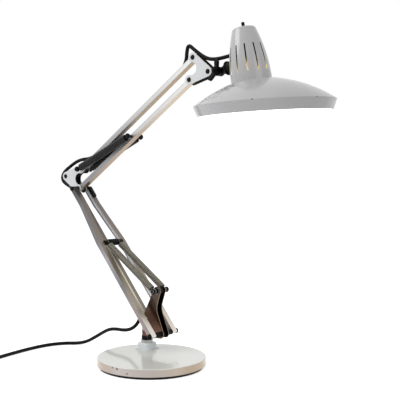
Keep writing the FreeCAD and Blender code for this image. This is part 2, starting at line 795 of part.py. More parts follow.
def build_stub():
    """The stub that tilts on the bolt; its flange carries the shade."""
    gap = size("loose_gap")
    thickness = size("lug_thickness") - gap
    lug = Part.makeCylinder(size("lug_radius"), thickness, TILT + Y_AXIS * gap, Y_AXIS)
    flange_back = FLANGE - STUB_AXIS * size("flange_thickness")
    reach = flange_back - TILT
    half = size("neck_height") / 2
    stem = Part.makeBox(reach.Length - 2.0, thickness, 2 * half, Vector(0, gap, -half))
    stem.Placement = Placement(TILT, Rotation(Y_AXIS, -math.degrees(math.atan2(reach.z, reach.x))))
    flange = Part.makeCylinder(size("flange_radius"), size("flange_thickness"), flange_back, STUB_AXIS)
    taper_start = flange_back - STUB_AXIS * size("taper_length")
    taper = Part.makeCone(half, size("flange_radius") * 0.8, size("taper_length"), taper_start, STUB_AXIS)
    pin = Part.makeCylinder(size("axle_radius"), 12.0, FLANGE, STUB_AXIS)
    bore = Part.makeCylinder(size("axle_radius") + size("running_gap"), 20.0, TILT - Y_AXIS * 2, Y_AXIS)
    stub = doc.addObject("Part::Feature", "tilt_stub")
    stub.Shape = lug.fuse([stem, flange, taper, pin]).removeSplitter().cut(bore)
    keep(stub, "tilt_stub")


# ---------------------------------------------------------------- shade


def ring_wire(centre, axis, radius):
    return Part.Wire(Part.makeCircle(radius, centre, axis))


def reflector_solid(inset):
    """The bowl of the shade down to its mouth, made smaller all over by the inset."""
    cap_ring = ring_wire(CAP_CENTRE - CAP_AXIS * inset, CAP_AXIS, size("cap_base_radius") - inset)
    cap_radius = size("cap_base_radius")
    blend = (size("shoulder_radius") - cap_radius) / (size("rim_radius") - cap_radius)
    rise = size("shoulder_rise")
    centre = CAP_CENTRE * (1 - blend) + RIM_CENTRE * blend
    centre.z = CAP_CENTRE.z * rise + RIM_CENTRE.z * (1 - rise) - inset
    axis = (CAP_AXIS * (1 - blend) + RIM_AXIS * blend).normalize()
    shoulder = ring_wire(centre, axis, size("shoulder_radius") - inset * 0.5)
    rim = ring_wire(RIM_CENTRE, RIM_AXIS, size("rim_radius") - inset)
    bowl = Part.makeLoft([cap_ring, shoulder, rim], True, False)
    below = inset * 2
    mouth_centre = RIM_CENTRE - RIM_AXIS * (size("rim_height") + below)
    mouth = ring_wire(mouth_centre, RIM_AXIS, size("mouth_radius") - inset)
    band = Part.makeLoft([rim, mouth], True, True)
    return bowl.fuse(band)


def cap_profile(inset):
    """Half the outline of the cap, from its base up to the middle of its top."""
    base = Vector(size("cap_base_radius") - inset, 0, 0)
    middle = Vector(size("cap_mid_radius") - inset, 0, size("cap_mid_height"))
    top = size("cap_height_full") - inset
    edge_round = size("cap_edge_round")
    edge_low = Vector(size("cap_top_radius") - inset + 1.0, 0, top - edge_round)
    edge_mid = Vector(size("cap_top_radius") - inset - 0.6, 0, top - edge_round * 0.3)
    edge_top = Vector(size("cap_top_radius") - inset - edge_round, 0, top)
    side = Part.Arc(base, middle, edge_low).toShape()
    corner = Part.Arc(edge_low, edge_mid, edge_top).toShape()
    centre_top = Vector(0, 0, top + 1.0)
    lid = Part.LineSegment(edge_top, centre_top).toShape()
    axis = Part.LineSegment(centre_top, Vector(0, 0, 0)).toShape()
    foot = Part.LineSegment(Vector(0, 0, 0), base).toShape()
    return Part.Face(Part.Wire([foot, side, corner, lid, axis]))


CAP_PLACE = Placement(CAP_CENTRE, Rotation(Z_AXIS, CAP_AXIS))


def on_cap_axis(height, aside=0.0):
    return CAP_PLACE.multVec(Vector(aside, 0, height))


def build_shade():
    thickness = size("sheet_thickness")
    throat_radius = size("cap_base_radius") - 3.0
    throat = Part.makeCylinder(throat_radius, 20, on_cap_axis(-10), CAP_AXIS)
    bowl = doc.addObject("Part::Feature", "shade_bowl")
    bowl.Shape = reflector_solid(0.0).cut(reflector_solid(thickness)).cut(throat)
    keep(bowl, "shade_bowl")

    outer = cap_profile(0.0).revolve(Vector(), Z_AXIS, 360)
    inner = cap_profile(thickness).revolve(Vector(), Z_AXIS, 360)
    hollow = outer.cut(inner)
    slot = Part.makeBox(60, size("slot_width"), size("slot_high") - size("slot_low"))
    slot.translate(Vector(0, -size("slot_width") / 2, size("slot_low")))
    count = int(size("slot_count"))
    for i in range(count):
        turn = size("slot_turn") + 360.0 * i / count
        piece = slot.copy()
        piece.rotate(Vector(), Z_AXIS, turn)
        hollow = hollow.cut(piece)
    rod_bore = Part.makeCylinder(size("rod_radius") + size("loose_gap"), 20, Vector(0, 0, 90))
    hollow = hollow.cut(rod_bore)
    hollow.Placement = CAP_PLACE
    outer.Placement = CAP_PLACE
    stub_bore = Part.makeCylinder(size("axle_radius") + size("running_gap"), 30, FLANGE, STUB_AXIS)
    flex_bore = Part.makeCylinder(size("cord_radius") + 2.0, 30, FLEX_ENTRY - STUB_AXIS * 12, STUB_AXIS)
    cap = doc.addObject("Part::Feature", "shade_cap")
    cap.Shape = hollow.cut(stub_bore).cut(flex_bore)
    keep(cap, "shade_cap")

    start = FLANGE + STUB_AXIS * size("loose_gap")
    block = Part.makeCylinder(size("saddle_radius"), 30, start, STUB_AXIS)
    saddle = doc.addObject("Part::Feature", "cap_saddle")
    inner.Placement = CAP_PLACE
    saddle.Shape = block.cut(outer).cut(stub_bore).Solids[0]
    keep(saddle, "cap_saddle")

    grommet_outer = Part.makeCylinder(size("cord_radius") + 2.0, 5, FLEX_ENTRY, STUB_AXIS)
    bore_radius = size("cord_radius") + size("running_gap")
    grommet_bore = Part.makeCylinder(bore_radius, 5, FLEX_ENTRY, STUB_AXIS)
    grommet = doc.addObject("Part::Feature", "flex_grommet")
    grommet.Shape = grommet_outer.cut(grommet_bore)
    keep(grommet, "flex_grommet")

    holder_low = size("holder_low")
    holder_foot = on_cap_axis(holder_low)
    holder_length = size("holder_high") - holder_low
    holder = Part.makeCylinder(size("holder_radius"), holder_length, holder_foot, CAP_AXIS)
    socket = Part.makeCylinder(size("bulb_neck_radius") + 0.5, 27, holder_foot, CAP_AXIS)
    lampholder = doc.addObject("Part::Feature", "lampholder")
    lampholder.Shape = holder.cut(socket)
    keep(lampholder, "lampholder")

    bulb_radius = size("bulb_radius")
    neck_radius = size("bulb_neck_radius")
    glass = Part.makeSphere(bulb_radius, on_cap_axis(size("bulb_centre")))
    widest = on_cap_axis(size("bulb_centre") + 17)
    shoulder = Part.makeCone(bulb_radius * 0.8, neck_radius, 24, widest, CAP_AXIS)
    screw = Part.makeCylinder(neck_radius, 30, on_cap_axis(holder_low - 8), CAP_AXIS)
    bulb = doc.addObject("Part::Feature", "bulb")
    bulb.Shape = glass.fuse([shoulder, screw]).removeSplitter()
    keep(bulb, "bulb")

    switch_low = size("holder_high")
    steps = [(0.0, "switch_radius", 0.9, "switch_radius", "switch_radius")]
    switch = turned("switch_body", on_cap_axis(switch_low), CAP_AXIS, steps)
    switch.Placement = Placement(on_cap_axis(switch_low), Rotation(Z_AXIS, CAP_AXIS))
    rod_start = size("cap_height_full") - 10.5
    steps = [(0.0, "rod_length", 1.0, "rod_radius", "rod_radius")]
    turned("switch_rod", on_cap_axis(rod_start), CAP_AXIS, steps)


# ---------------------------------------------------------------- flex routes


def route(points):
    return [Vector(*point) for point in points]


LINK_FLEX_SIDE = 0.8
LINK_FLEX_LOW = along(BRACKET_LINK, size("lower_angle"), 75.0, LINK_FLEX_SIDE)
LINK_FLEX_HIGH = along(BRACKET_LINK, size("lower_angle"), 310.0, LINK_FLEX_SIDE)
UPPER_FLEX_SIDE = 0.4
UPPER_FLEX_LOW = along(ELBOW_TOP, size("upper_angle"), 85.0, UPPER_FLEX_SIDE)
UPPER_FLEX_HIGH = along(ELBOW_TOP, size("upper_angle"), 315.0, UPPER_FLEX_SIDE)

CORD_ROUTE = [
    (-18.5, 0, 91),
    (-20, 0, 81),
    (-31, 0, 65),
    (-48, 0, 54),
    (-68, 0, 50),
    (-90, 0, 50),
    (-112, 0, 46.5),
    (-134, 0, 35),
    (-157, 0, 22),
    (-181, 0, 9.5),
    (-204, -6, 3.75),
    (-226, -22, 3.75),
    (-241, -48, 3.75),
    (-247, -82, 3.75),
    (-246, -122, 3.75),
    (-241, -166, 3.75),
    (-234, -212, 3.75),
    (-226, -256, 3.75),
    (-220.5, -296, 3.75),
    (-220.5, -324, 3.75),
]
TAIL_ROUTE = [
    (-320.5, -330, 10),
    (-321.5, -308, 10),
    (-318, -292, 8.5),
    (-313, -278, 7),
]
ELBOW_FLEX_LOWER = [(-33, 3.5), (-48, 9.5), (-60, 17.5)]
ELBOW_FLEX_TURN = (-60.75, 23.25)
ELBOW_FLEX_UPPER = [(-61.5, 29), (-52, 40.5), (-35, 50.5), (-15, 61), (5, 66.5), (29, 67.5)]
HEAD_FLEX_ARM = [(-13.5, 39), (-12.5, 60), (-8, 72), (6, 60.5)]
HEAD_FLEX_MIDDLE = (15, 54)
HEAD_FLEX_STUB = [(24, 47.5), (40, 39), (58, 36.2)]
HEAD_FLEX_PIVOT = (69, 37)
HEAD_FLEX_LAST = (80, 37.8)
FLEX_ENTRY = HEAD_ARM + spot(*HEAD_FLEX_LAST) + STUB_AXIS * 15.0


def build_cord():
    """The free lead: the stretch that is seen, its coil and its plug."""
    lead = flex("mains_cord", route(CORD_ROUTE))
    tail = flex("plug_lead", route(TAIL_ROUTE))
    middle = size("coil_mid_radius")
    band = size("coil_width")
    coil = new_body("cord_coil")
    sketch = new_sketch(coil, "XY_Plane")
    centre = Vector(size("coil_x"), size("coil_y"), 0)
    for radius in (middle + band / 2, middle - band / 2):
        sketch.addGeometry(Part.Circle(centre, Z_AXIS, radius))
    pad(coil, sketch, "coil_height")
    wound = size("coil_turns") * 2 * math.pi * middle
    seen = rounded_wire(route(CORD_ROUTE)).Length + rounded_wire(route(TAIL_ROUTE)).Length
    print(f"cord length {seen + wound:.0f} mm, of which {wound:.0f} mm is coiled")

    plug = new_body("mains_plug")
    block = new_sketch(plug, "XY_Plane")
    end = Vector(*TAIL_ROUTE[-1])
    half = size("plug_width") / 2
    far = end.y + size("plug_length")
    corners = [(end.x - 5, end.y), (end.x + 5, end.y), (end.x + half, end.y + 12)]
    corners += [(end.x + half, far), (end.x - half, far), (end.x - half, end.y + 12)]
    draw_polygon(block, corners)
    pad(plug, block, "plug_height")
    pins = new_sketch(plug, "XZ_Plane", -far)
    for side in (-1, 1):
        draw_circle(pins, end.x + side * 9.5, end.z, "plug_pin_radius")
    pad(plug, pins, "plug_pin_length", backwards=True)


def on_head(point):
    return HEAD_ARM + spot(*point)


def build_head_flex():
    middle = on_head(HEAD_FLEX_MIDDLE)
    pivot = on_head(HEAD_FLEX_PIVOT)
    rise = [on_head(point) for point in HEAD_FLEX_ARM]
    across = [on_head(point) for point in HEAD_FLEX_STUB]
    leave = along(ELBOW_TOP, size("upper_angle"), 342.0, UPPER_FLEX_SIDE)
    flex("head_flex_arm", [UPPER_FLEX_HIGH, leave] + rise + [middle])
    flex("head_flex_stub", [middle] + across + [pivot])
    flex("shade_flex", [pivot, on_head(HEAD_FLEX_LAST), FLEX_ENTRY + STUB_AXIS * 4.0])


def build_flex():
    lower = size("lower_angle")
    upper = size("upper_angle")
    bend = along(BRACKET_LINK, lower, 50.0, LINK_FLEX_SIDE)
    drop = Vector(-17, 0, 101)
    flex("bracket_flex", [LINK_FLEX_LOW, bend, drop, Vector(*CORD_ROUTE[0])])
    flex("lower_link_flex", [LINK_FLEX_LOW, LINK_FLEX_HIGH])
    leave = along(BRACKET_LINK, lower, 337.0, LINK_FLEX_SIDE)
    turn = ELBOW_ARM + spot(*ELBOW_FLEX_TURN)
    loop = [ELBOW_ARM + spot(*point) for point in ELBOW_FLEX_LOWER]
    flex("elbow_flex_lower", [LINK_FLEX_HIGH, leave] + loop + [turn])
    enter = along(ELBOW_TOP, upper, 60.0, UPPER_FLEX_SIDE)
    loop = [ELBOW_ARM + spot(*point) for point in ELBOW_FLEX_UPPER]
    flex("elbow_flex_upper", [turn] + loop + [enter, UPPER_FLEX_LOW])
    flex("upper_link_flex", [UPPER_FLEX_LOW, UPPER_FLEX_HIGH])


def build_all():
    build_base()
    build_bracket()
    build_lower_arm()
    build_stop()
    build_elbow()
    build_upper_arm()
    build_springs()
    build_head()
    build_shade()
    build_flex()
    build_head_flex()
    build_cord()


build_all()
doc.recompute()

os.makedirs("parts", exist_ok=True)
for thing in made:
    shape = thing.Shape
    if shape.isNull() or not shape.isValid() or not shape.Solids:
        raise RuntimeError(f"{thing.Label}: no valid solid")
    bad = [state for state in thing.State if state in ("Invalid", "Error")]
    if bad:
        raise RuntimeError(f"{thing.Label}: {bad}")
    shape.exportStep(f"parts/{thing.Label}.step")
print(len(made), "sub-parts")
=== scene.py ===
"""The looks of a desk lamp with a spring-balanced folding arm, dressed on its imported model.

Metres, in the model's own frame: +Z is up, the origin is on the desk under the swivel pin, the
arm folds in the XZ plane, and -Y is the near side. Sizes that are easier to read in millimetres
are written so, and MM turns them into metres.
"""

import math

import bpy
from mathutils import Matrix, Vector


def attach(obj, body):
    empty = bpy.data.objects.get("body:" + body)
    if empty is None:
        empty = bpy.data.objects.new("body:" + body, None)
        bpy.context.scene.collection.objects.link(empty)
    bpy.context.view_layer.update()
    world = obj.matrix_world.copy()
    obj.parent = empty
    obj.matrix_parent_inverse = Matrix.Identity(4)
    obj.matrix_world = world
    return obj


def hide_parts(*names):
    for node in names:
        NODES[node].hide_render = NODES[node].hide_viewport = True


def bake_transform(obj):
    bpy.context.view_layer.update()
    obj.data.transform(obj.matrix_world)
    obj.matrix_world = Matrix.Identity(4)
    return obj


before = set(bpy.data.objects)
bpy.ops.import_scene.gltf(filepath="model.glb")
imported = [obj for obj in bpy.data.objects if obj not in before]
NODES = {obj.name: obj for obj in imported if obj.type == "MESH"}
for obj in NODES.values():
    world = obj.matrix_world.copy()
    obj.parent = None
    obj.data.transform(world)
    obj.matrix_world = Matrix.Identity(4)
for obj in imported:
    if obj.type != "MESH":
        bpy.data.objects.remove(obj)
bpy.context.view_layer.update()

MM = 0.001
Y_AXIS = Vector((0, 1, 0))
Z_AXIS = Vector((0, 0, 1))
FITTING_EDGE = 0.3  # mm, the round of a small turned part's edges


# ---------------------------------------------------------------- places, as in the CAD source


def spot(x, z, y=0.0):
    return Vector((x, y, z)) * MM


def along(start, degrees, distance, side=0.0):
    """The point at a distance along a bar, and to the side that its channel opens to."""
    angle = math.radians(degrees)
    x = distance * math.cos(angle) - side * math.sin(angle)
    z = distance * math.sin(angle) + side * math.cos(angle)
    return start + spot(x, z)


LOWER_ANGLE = 129.2
UPPER_ANGLE = 34.8
LOWER_REACH = 387.0
UPPER_REACH = 386.0
SIDE_PIN = spot(-40.7, 28.0)
TOP_PIN = spot(8.9, 43.9)
BRACKET_ARM = spot(43.8, 56.9)
BRACKET_LINK = BRACKET_ARM + SIDE_PIN
BRACKET_ANCHOR = BRACKET_ARM + spot(-9.1, 89.5)
ELBOW_ARM = along(BRACKET_ARM, LOWER_ANGLE, LOWER_REACH)
ELBOW_TOP = ELBOW_ARM + TOP_PIN
HEAD_ARM = along(ELBOW_ARM, UPPER_ANGLE, UPPER_REACH)
LOWER_HOOK = along(BRACKET_ARM, LOWER_ANGLE, 233.0, -4.5)
UPPER_HOOK = along(ELBOW_ARM, UPPER_ANGLE, 197.5)
TILT = spot(184.0, 589.0)
RIM_CENTRE = spot(288.0, 521.1)
CAP_CENTRE = spot(259.4, 563.5)
CAP_AXIS = Vector((-0.145, -0.068, 1.0)).normalized()
STUB_AXIS = Vector((1.0, 0.0, 0.145)).normalized()


# ---------------------------------------------------------------- camera, floor and light


def add_object(name, data):
    thing = bpy.data.objects.new(name, data)
    bpy.context.scene.collection.objects.link(thing)
    return thing


def build_camera():
    lens = bpy.data.cameras.new("camera")
    lens.lens = 65.35
    lens.sensor_width = 36.0
    camera = add_object("camera", lens)
    camera.location = (1.0106, -1.1562, 0.3746)
    yaw = Matrix.Rotation(math.radians(37.02), 3, "Z")
    pitch = Matrix.Rotation(math.radians(88.53), 3, "X")
    roll = Matrix.Rotation(math.radians(0.3), 3, "Z")
    camera.rotation_euler = (yaw @ pitch @ roll).to_euler()
    bpy.context.scene.camera = camera


def linear(text):
    """A colour written as sRGB hex, in the linear values that a shader takes."""
    channels = [int(text[i : i + 2], 16) / 255 for i in (1, 3, 5)]
    return tuple(c / 12.92 if c <= 0.04045 else ((c + 0.055) / 1.055) ** 2.4 for c in channels) + (1.0,)


def node(tree, kind, inputs=None, **settings):
    """A shader node with its settings, and with each input a value or a socket to link."""
    made = tree.nodes.new("ShaderNode" + kind)
    for name, value in settings.items():
        setattr(made, name, value)
    for name, value in (inputs or {}).items():
        if isinstance(value, bpy.types.NodeSocket):
            tree.links.new(value, made.inputs[name])
        else:
            made.inputs[name].default_value = value
    return made


def seen_directly(tree):
    """1 for a ray from the eye, or one that a shiny or clear surface sends on."""
    path = node(tree, "LightPath")
    both = {0: path.outputs["Is Camera Ray"], 1: path.outputs["Is Glossy Ray"]}
    either = node(tree, "Math", both, operation="MAXIMUM").outputs[0]
    last = {0: either, 1: path.outputs["Is Transmission Ray"]}
    return node(tree, "Math", last, operation="MAXIMUM").outputs[0]


def build_floor():
    mesh = bpy.data.meshes.new("floor")
    mesh.from_pydata([(-6, -6, 0), (6, -6, 0), (6, 9, 0), (-6, 9, 0)], [], [(0, 1, 2, 3)])
    floor = add_object("floor", mesh)
    paper = bpy.data.materials.new("matt_white_floor")
    paper.use_nodes = True
    tree = paper.node_tree
    shader = tree.nodes["Principled BSDF"]
    shader.inputs["Base Color"].default_value = linear("#e9e9e9")
    shader.inputs["Roughness"].default_value = 0.9
    shader.inputs["Specular IOR Level"].default_value = 0.1
    shader.inputs["Emission Color"].default_value = linear("#ffffff")
    glow = node(tree, "Math", {0: seen_directly(tree), 1: 0.62}, operation="MULTIPLY")
    tree.links.new(glow.outputs[0], shader.inputs["Emission Strength"])
    mesh.materials.append(paper)


def build_world():
    world = bpy.data.worlds.new("studio")
    bpy.context.scene.world = world
    world.use_nodes = True
    tree = world.node_tree
    tree.nodes.clear()
    fill = node(tree, "Background", {"Color": linear("#f4f6fa"), "Strength": 0.62})
    white = node(tree, "Background", {"Color": (1, 1, 1, 1), "Strength": 1.0})
    both = node(tree, "MixShader", {0: seen_directly(tree), 1: fill.outputs[0], 2: white.outputs[0]})
    node(tree, "OutputWorld", {"Surface": both.outputs[0]})


def add_softbox(name, place, aim, width, watts, colour):
    light = bpy.data.lights.new(name, "AREA")
    light.shape = "DISK"
    light.size = width
    light.energy = watts
    light.color = linear(colour)[:3]
    lamp = add_object(name, light)
    lamp.location = place
    lamp.rotation_euler = (Vector(aim) - Vector(place)).to_track_quat("-Z", "Y").to_euler()


def build_light():
    add_softbox("key_light", (-1.3, -1.7, 2.2), (0, 0, 0.3), 1.8, 34, "#fffdf8")
    add_softbox("side_light", (2.2, -0.4, 1.2), (0, 0, 0.3), 1.4, 7, "#fff2e2")


# ---------------------------------------------------------------- materials


def new_material(name, colour, roughness, metallic=0.0, **sockets):
    """A Principled material. A constant goes straight on the shader's own socket."""
    material = bpy.data.materials.new(name)
    material.use_nodes = True
    shader = material.node_tree.nodes["Principled BSDF"]
    shader.inputs["Base Color"].default_value = linear(colour)
    shader.inputs["Roughness"].default_value = roughness
    shader.inputs["Metallic"].default_value = metallic
    for name, value in sockets.items():
        shader.inputs[name.replace("_", " ")].default_value = value
    return material, material.node_tree, shader


def maths(tree, operation, first, second=0.0, clamp=False):
    return node(tree, "Math", {0: first, 1: second}, operation=operation, use_clamp=clamp).outputs[0]


def dot(tree, vector, direction):
    pair = {0: vector, 1: tuple(direction)}
    return node(tree, "VectorMath", pair, operation="DOT_PRODUCT").outputs["Value"]


def place_in_mm(tree):
    """Where the point is on the piece, in millimetres of the model's frame."""
    where = node(tree, "TexCoord").outputs["Object"]
    return node(tree, "VectorMath", {0: where, "Scale": 1000.0}, operation="SCALE").outputs[0]


def facing(tree, direction):
    """How far the surface faces a direction, from -1 to 1."""
    return dot(tree, node(tree, "TexCoord").outputs["Normal"], direction)


def from_range(tree, value, low, high):
    """0 at low and below, 1 at high and above, smooth between them."""
    limits = {"Value": value, "From Min": low, "From Max": high}
    return node(tree, "MapRange", limits, interpolation_type="SMOOTHSTEP").outputs["Result"]


def noise(tree, place, grain_mm, detail=2.0, roughness=0.5):
    scales = {"Vector": place, "Scale": 1.0 / grain_mm, "Detail": detail, "Roughness": roughness}
    return node(tree, "TexNoise", scales).outputs["Fac"]


def ramp(tree, value, stops):
    """Colours along a value, from (place, hex) pairs."""
    made = node(tree, "ValToRGB", {"Fac": value})
    elements = made.color_ramp.elements
    while len(elements) < len(stops):
        elements.new(0.5)
    for element, (position, colour) in zip(elements, stops):
        element.position = position
        element.color = linear(colour)
    return made.outputs["Color"]


def mixed(tree, share, first, second):
    """Two colours, each a hex or a socket, mixed by a share from 0 to 1."""
    made = node(tree, "Mix", {0: share}, data_type="RGBA")
    for place, colour in ((6, first), (7, second)):
        if isinstance(colour, str):
            made.inputs[place].default_value = linear(colour)
        else:
            tree.links.new(colour, made.inputs[place])
    return made.outputs[2]


def tinted(tree, colour, value, low, high):
    """A colour made darker or lighter by a value, between two factors."""
    limits = {"Value": value, "To Min": low, "To Max": high}
    factor = node(tree, "MapRange", limits).outputs["Result"]
    return node(tree, "VectorMath", {0: colour, "Scale": factor}, operation="SCALE").outputs[0]


def set_bump(tree, shader, height, depth_mm):
    facts = {"Height": height, "Strength": 1.0, "Distance": depth_mm * MM}
    tree.links.new(node(tree, "Bump", facts).outputs["Normal"], shader.inputs["Normal"])


def set_socket(tree, shader, name, value):
    tree.links.new(value, shader.inputs[name])


def chip_mask(tree, place, chips):
    """1 inside a few chips in the paint, each (x, y, z, radius) in millimetres."""
    ragged = noise(tree, place, 1.3, 3.0)
    whole = None
    for x, y, z, radius in chips:
        apart = node(tree, "VectorMath", {0: place, 1: (x, y, z)}, operation="DISTANCE").outputs["Value"]
        wavy = maths(tree, "MULTIPLY_ADD", ragged, radius)
        edge = maths(tree, "SUBTRACT", maths(tree, "ADD", wavy, radius * 0.6), apart)
        inside = from_range(tree, edge, -0.15, 0.15)
        whole = inside if whole is None else maths(tree, "MAXIMUM", whole, inside)
    return whole


def enamel(name, colour, chips=(), under="#5b4a3c", tint=None, dust=0.05, shine=0.35):
    """Stoved enamel: smooth gloss with a faint orange peel, a little uneven, and chipped."""
    material, tree, shader = new_material(name, colour, 0.3, Coat_Weight=shine, Coat_Roughness=0.06)
    place = place_in_mm(tree)
    paint = mixed(tree, 0.0, colour, colour) if tint is None else tint(tree, place)
    cloudy = noise(tree, place, 55.0, 4.0, 0.55)
    paint = tinted(tree, paint, cloudy, 1.0 - dust, 1.0 + dust * 0.6)
    fine = noise(tree, place, 3.5, 3.0)
    rough = node(tree, "MapRange", {"Value": fine, "To Min": 0.24, "To Max": 0.4}).outputs["Result"]
    height = noise(tree, place, 1.6, 1.0)
    if chips:
        chipped = chip_mask(tree, place, chips)
        paint = mixed(tree, chipped, paint, under)
        height = maths(tree, "SUBTRACT", height, maths(tree, "MULTIPLY", chipped, 6.0))
    set_socket(tree, shader, "Base Color", paint)
    set_socket(tree, shader, "Roughness", rough)
    set_bump(tree, shader, height, 0.02)
    return material


def base_wall_painted_light(tree, place):
    """Painted shade and a painted warm reflection: the base's wall is warmer and darker than its top, and
    yellowest to the right and at the left edge.
    """
    aside = dot(tree, place, (0.8, 0.6, 0.0))
    wall = ramp(
        tree, from_range(tree, aside, -100.0, 125.0),
        [
            (0.0, "#b59f89"), (0.15, "#cec4be"), (0.55, "#c3b8b3"), (0.85, "#cdbeae"),
            (1.0, "#bda482")
        ]
    )
    return mixed(tree, from_range(tree, facing(tree, Z_AXIS), 0.75, 0.35), "#d9dad4", wall)


def shade_painted_darkening(tree, place):
    """Painted shade: the shade's grey deepens a little towards its right."""
    aside = dot(tree, place, (0.8, 0.6, 0.0))
    return ramp(
        tree, from_range(tree, aside, 110.0, 340.0),
        [(0.0, "#b9b9bb"), (0.5, "#b2b2b3"), (1.0, "#9f9fa0")]
    )


def bar_metal(name, degrees, start, reach, side_stops, web_stops, inside):
    """Bright drawn metal of a channel bar, with lengthwise streaks that are partly die marks and partly
    painted reflection, colours painted along its length, on its sides and in its trough as painted
    reflections and painted shade, and a painted highlight line on the far bar's near face.
    """
    material, tree, shader = new_material(name, "#c8c8ca", 0.3, 0.5)
    angle = math.radians(degrees)
    way = Vector((math.cos(angle), 0, math.sin(angle)))
    open_side = Vector((-math.sin(angle), 0, math.cos(angle)))
    place = place_in_mm(tree)
    from_start = maths(tree, "SUBTRACT", dot(tree, place, way), start.dot(way) / MM)
    share = maths(tree, "DIVIDE", from_start, reach, clamp=True)
    across = maths(tree, "SUBTRACT", dot(tree, place, open_side), start.dot(open_side) / MM)
    parts = {"X": maths(tree, "MULTIPLY", from_start, 0.012), "Y": dot(tree, place, Y_AXIS), "Z": across}
    drawn = node(tree, "CombineXYZ", parts).outputs[0]
    streak_and_painted_reflection = noise(tree, drawn, 2.6, 3.0, 0.6)
    hairline = noise(tree, drawn, 0.7, 2.0)
    sideways = maths(tree, "ABSOLUTE", facing(tree, Y_AXIS))
    on_side = from_range(tree, sideways, 0.45, 0.8)
    # painted reflections and painted shade: side and web colours change along the bar
    sides = tinted(tree, ramp(tree, share, side_stops), streak_and_painted_reflection, 0.62, 1.38)
    web = tinted(tree, ramp(tree, share, web_stops), streak_and_painted_reflection, 0.78, 1.25)
    beyond = from_range(tree, dot(tree, place, Y_AXIS), 8.0, 10.0)
    far_bar_near_face = maths(tree, "MULTIPLY", beyond, from_range(tree, facing(tree, -Y_AXIS), 0.3, 0.7))
    # painted highlight: a bright line along the far bar's near face
    painted_highlight_line = ramp(
        tree, from_range(tree, across, -5.0, 5.0),
        [(0.0, "#cfcfd4"), (0.45, "#ffffff"), (0.7, "#b4b4ba"), (1.0, "#8e8e94")]
    )
    sides = mixed(tree, far_bar_near_face, sides, painted_highlight_line)
    outward = facing(tree, open_side)
    # painted reflection in the channel's trough
    trough = mixed(tree, from_range(tree, outward, 0.2, 0.6), web, inside)
    paint = mixed(tree, on_side, trough, sides)
    set_socket(tree, shader, "Base Color", paint)
    rough = node(tree, "MapRange", {"Value": hairline, "To Min": 0.22, "To Max": 0.42}).outputs["Result"]
    set_socket(tree, shader, "Roughness", rough)
    set_bump(tree, shader, hairline, 0.012)
    return material


def lever_plate(name, outer, inner, edge):
    """A plate that is pale on its outer face and near black on its inner one."""
    material, tree, shader = new_material(name, outer, 0.35, Coat_Weight=0.2, Coat_Roughness=0.2)
    place = place_in_mm(tree)
    sideways = facing(tree, Y_AXIS)
    towards = maths(tree, "MULTIPLY", sideways, maths(tree, "SIGN", dot(tree, place, Y_AXIS)))
    cloudy = noise(tree, place, 18.0, 4.0)
    face = tinted(tree, mixed(tree, 0.0, outer, outer), cloudy, 0.95, 1.04)
    paint = mixed(tree, from_range(tree, towards, 0.3, 0.7), edge, face)
    paint = mixed(tree, from_range(tree, towards, -0.3, -0.7), paint, inner)
    set_socket(tree, shader, "Base Color", paint)
    set_bump(tree, shader, noise(tree, place, 9.0, 2.0), 0.006)
    return material


def bracket_metal(name):
    """Polished plate of the bracket, with a brown room painted into its colour as a painted reflection, a
    painted highlight on its cut edges, and near black inner faces.
    """
    material, tree, shader = new_material(name, "#6a4c3a", 0.16, 0.9)
    place = place_in_mm(tree)
    height = dot(tree, place, Z_AXIS)
    # painted reflection: the brown of a room, a little lighter towards the plate's foot
    room = ramp(
        tree, from_range(tree, height, 55.0, 150.0),
        [(0.0, "#5f463a"), (0.4, "#573e31"), (0.7, "#54463c"), (1.0, "#4a4039")]
    )
    sideways = facing(tree, Y_AXIS)
    inward = maths(tree, "MULTIPLY", sideways, maths(tree, "SIGN", dot(tree, place, Y_AXIS)))
    soft = noise(tree, place, 14.0, 3.0)
    face = tinted(tree, room, soft, 0.85, 1.2)
    # painted highlight on the cut edges; the inner faces are near black
    paint = mixed(tree, from_range(tree, maths(tree, "ABSOLUTE", sideways), 0.4, 0.8), "#8f7d6b", face)
    paint = mixed(tree, from_range(tree, inward, -0.3, -0.7), paint, "#14110f")
    set_socket(tree, shader, "Base Color", paint)
    scuff = noise(tree, place, 0.9, 4.0, 0.65)
    rough = node(tree, "MapRange", {"Value": scuff, "To Min": 0.1, "To Max": 0.28}).outputs["Result"]
    set_socket(tree, shader, "Roughness", rough)
    set_bump(tree, shader, scuff, 0.01)
    return material


def plain_finish(name, colour, roughness, metallic=0.0, grain=2.0, depth=0.03, vary=0.12, **sockets):
    """A finish with an uneven tone and a fine grain, for small metal, plastic and rubber."""
    material, tree, shader = new_material(name, colour, roughness, metallic, **sockets)
    place = place_in_mm(tree)
    cloudy = noise(tree, place, grain * 6, 3.0)
    paint = tinted(tree, mixed(tree, 0.0, colour, colour), cloudy, 1.0 - vary, 1.0 + vary)
    set_socket(tree, shader, "Base Color", paint)
    fine = noise(tree, place, grain, 3.0, 0.6)
    span = {"Value": fine, "To Min": roughness * 0.8, "To Max": min(1.0, roughness * 1.25)}
    set_socket(tree, shader, "Roughness", node(tree, "MapRange", span).outputs["Result"])
    set_bump(tree, shader, noise(tree, place, grain * 0.4, 2.0), depth)
    return material


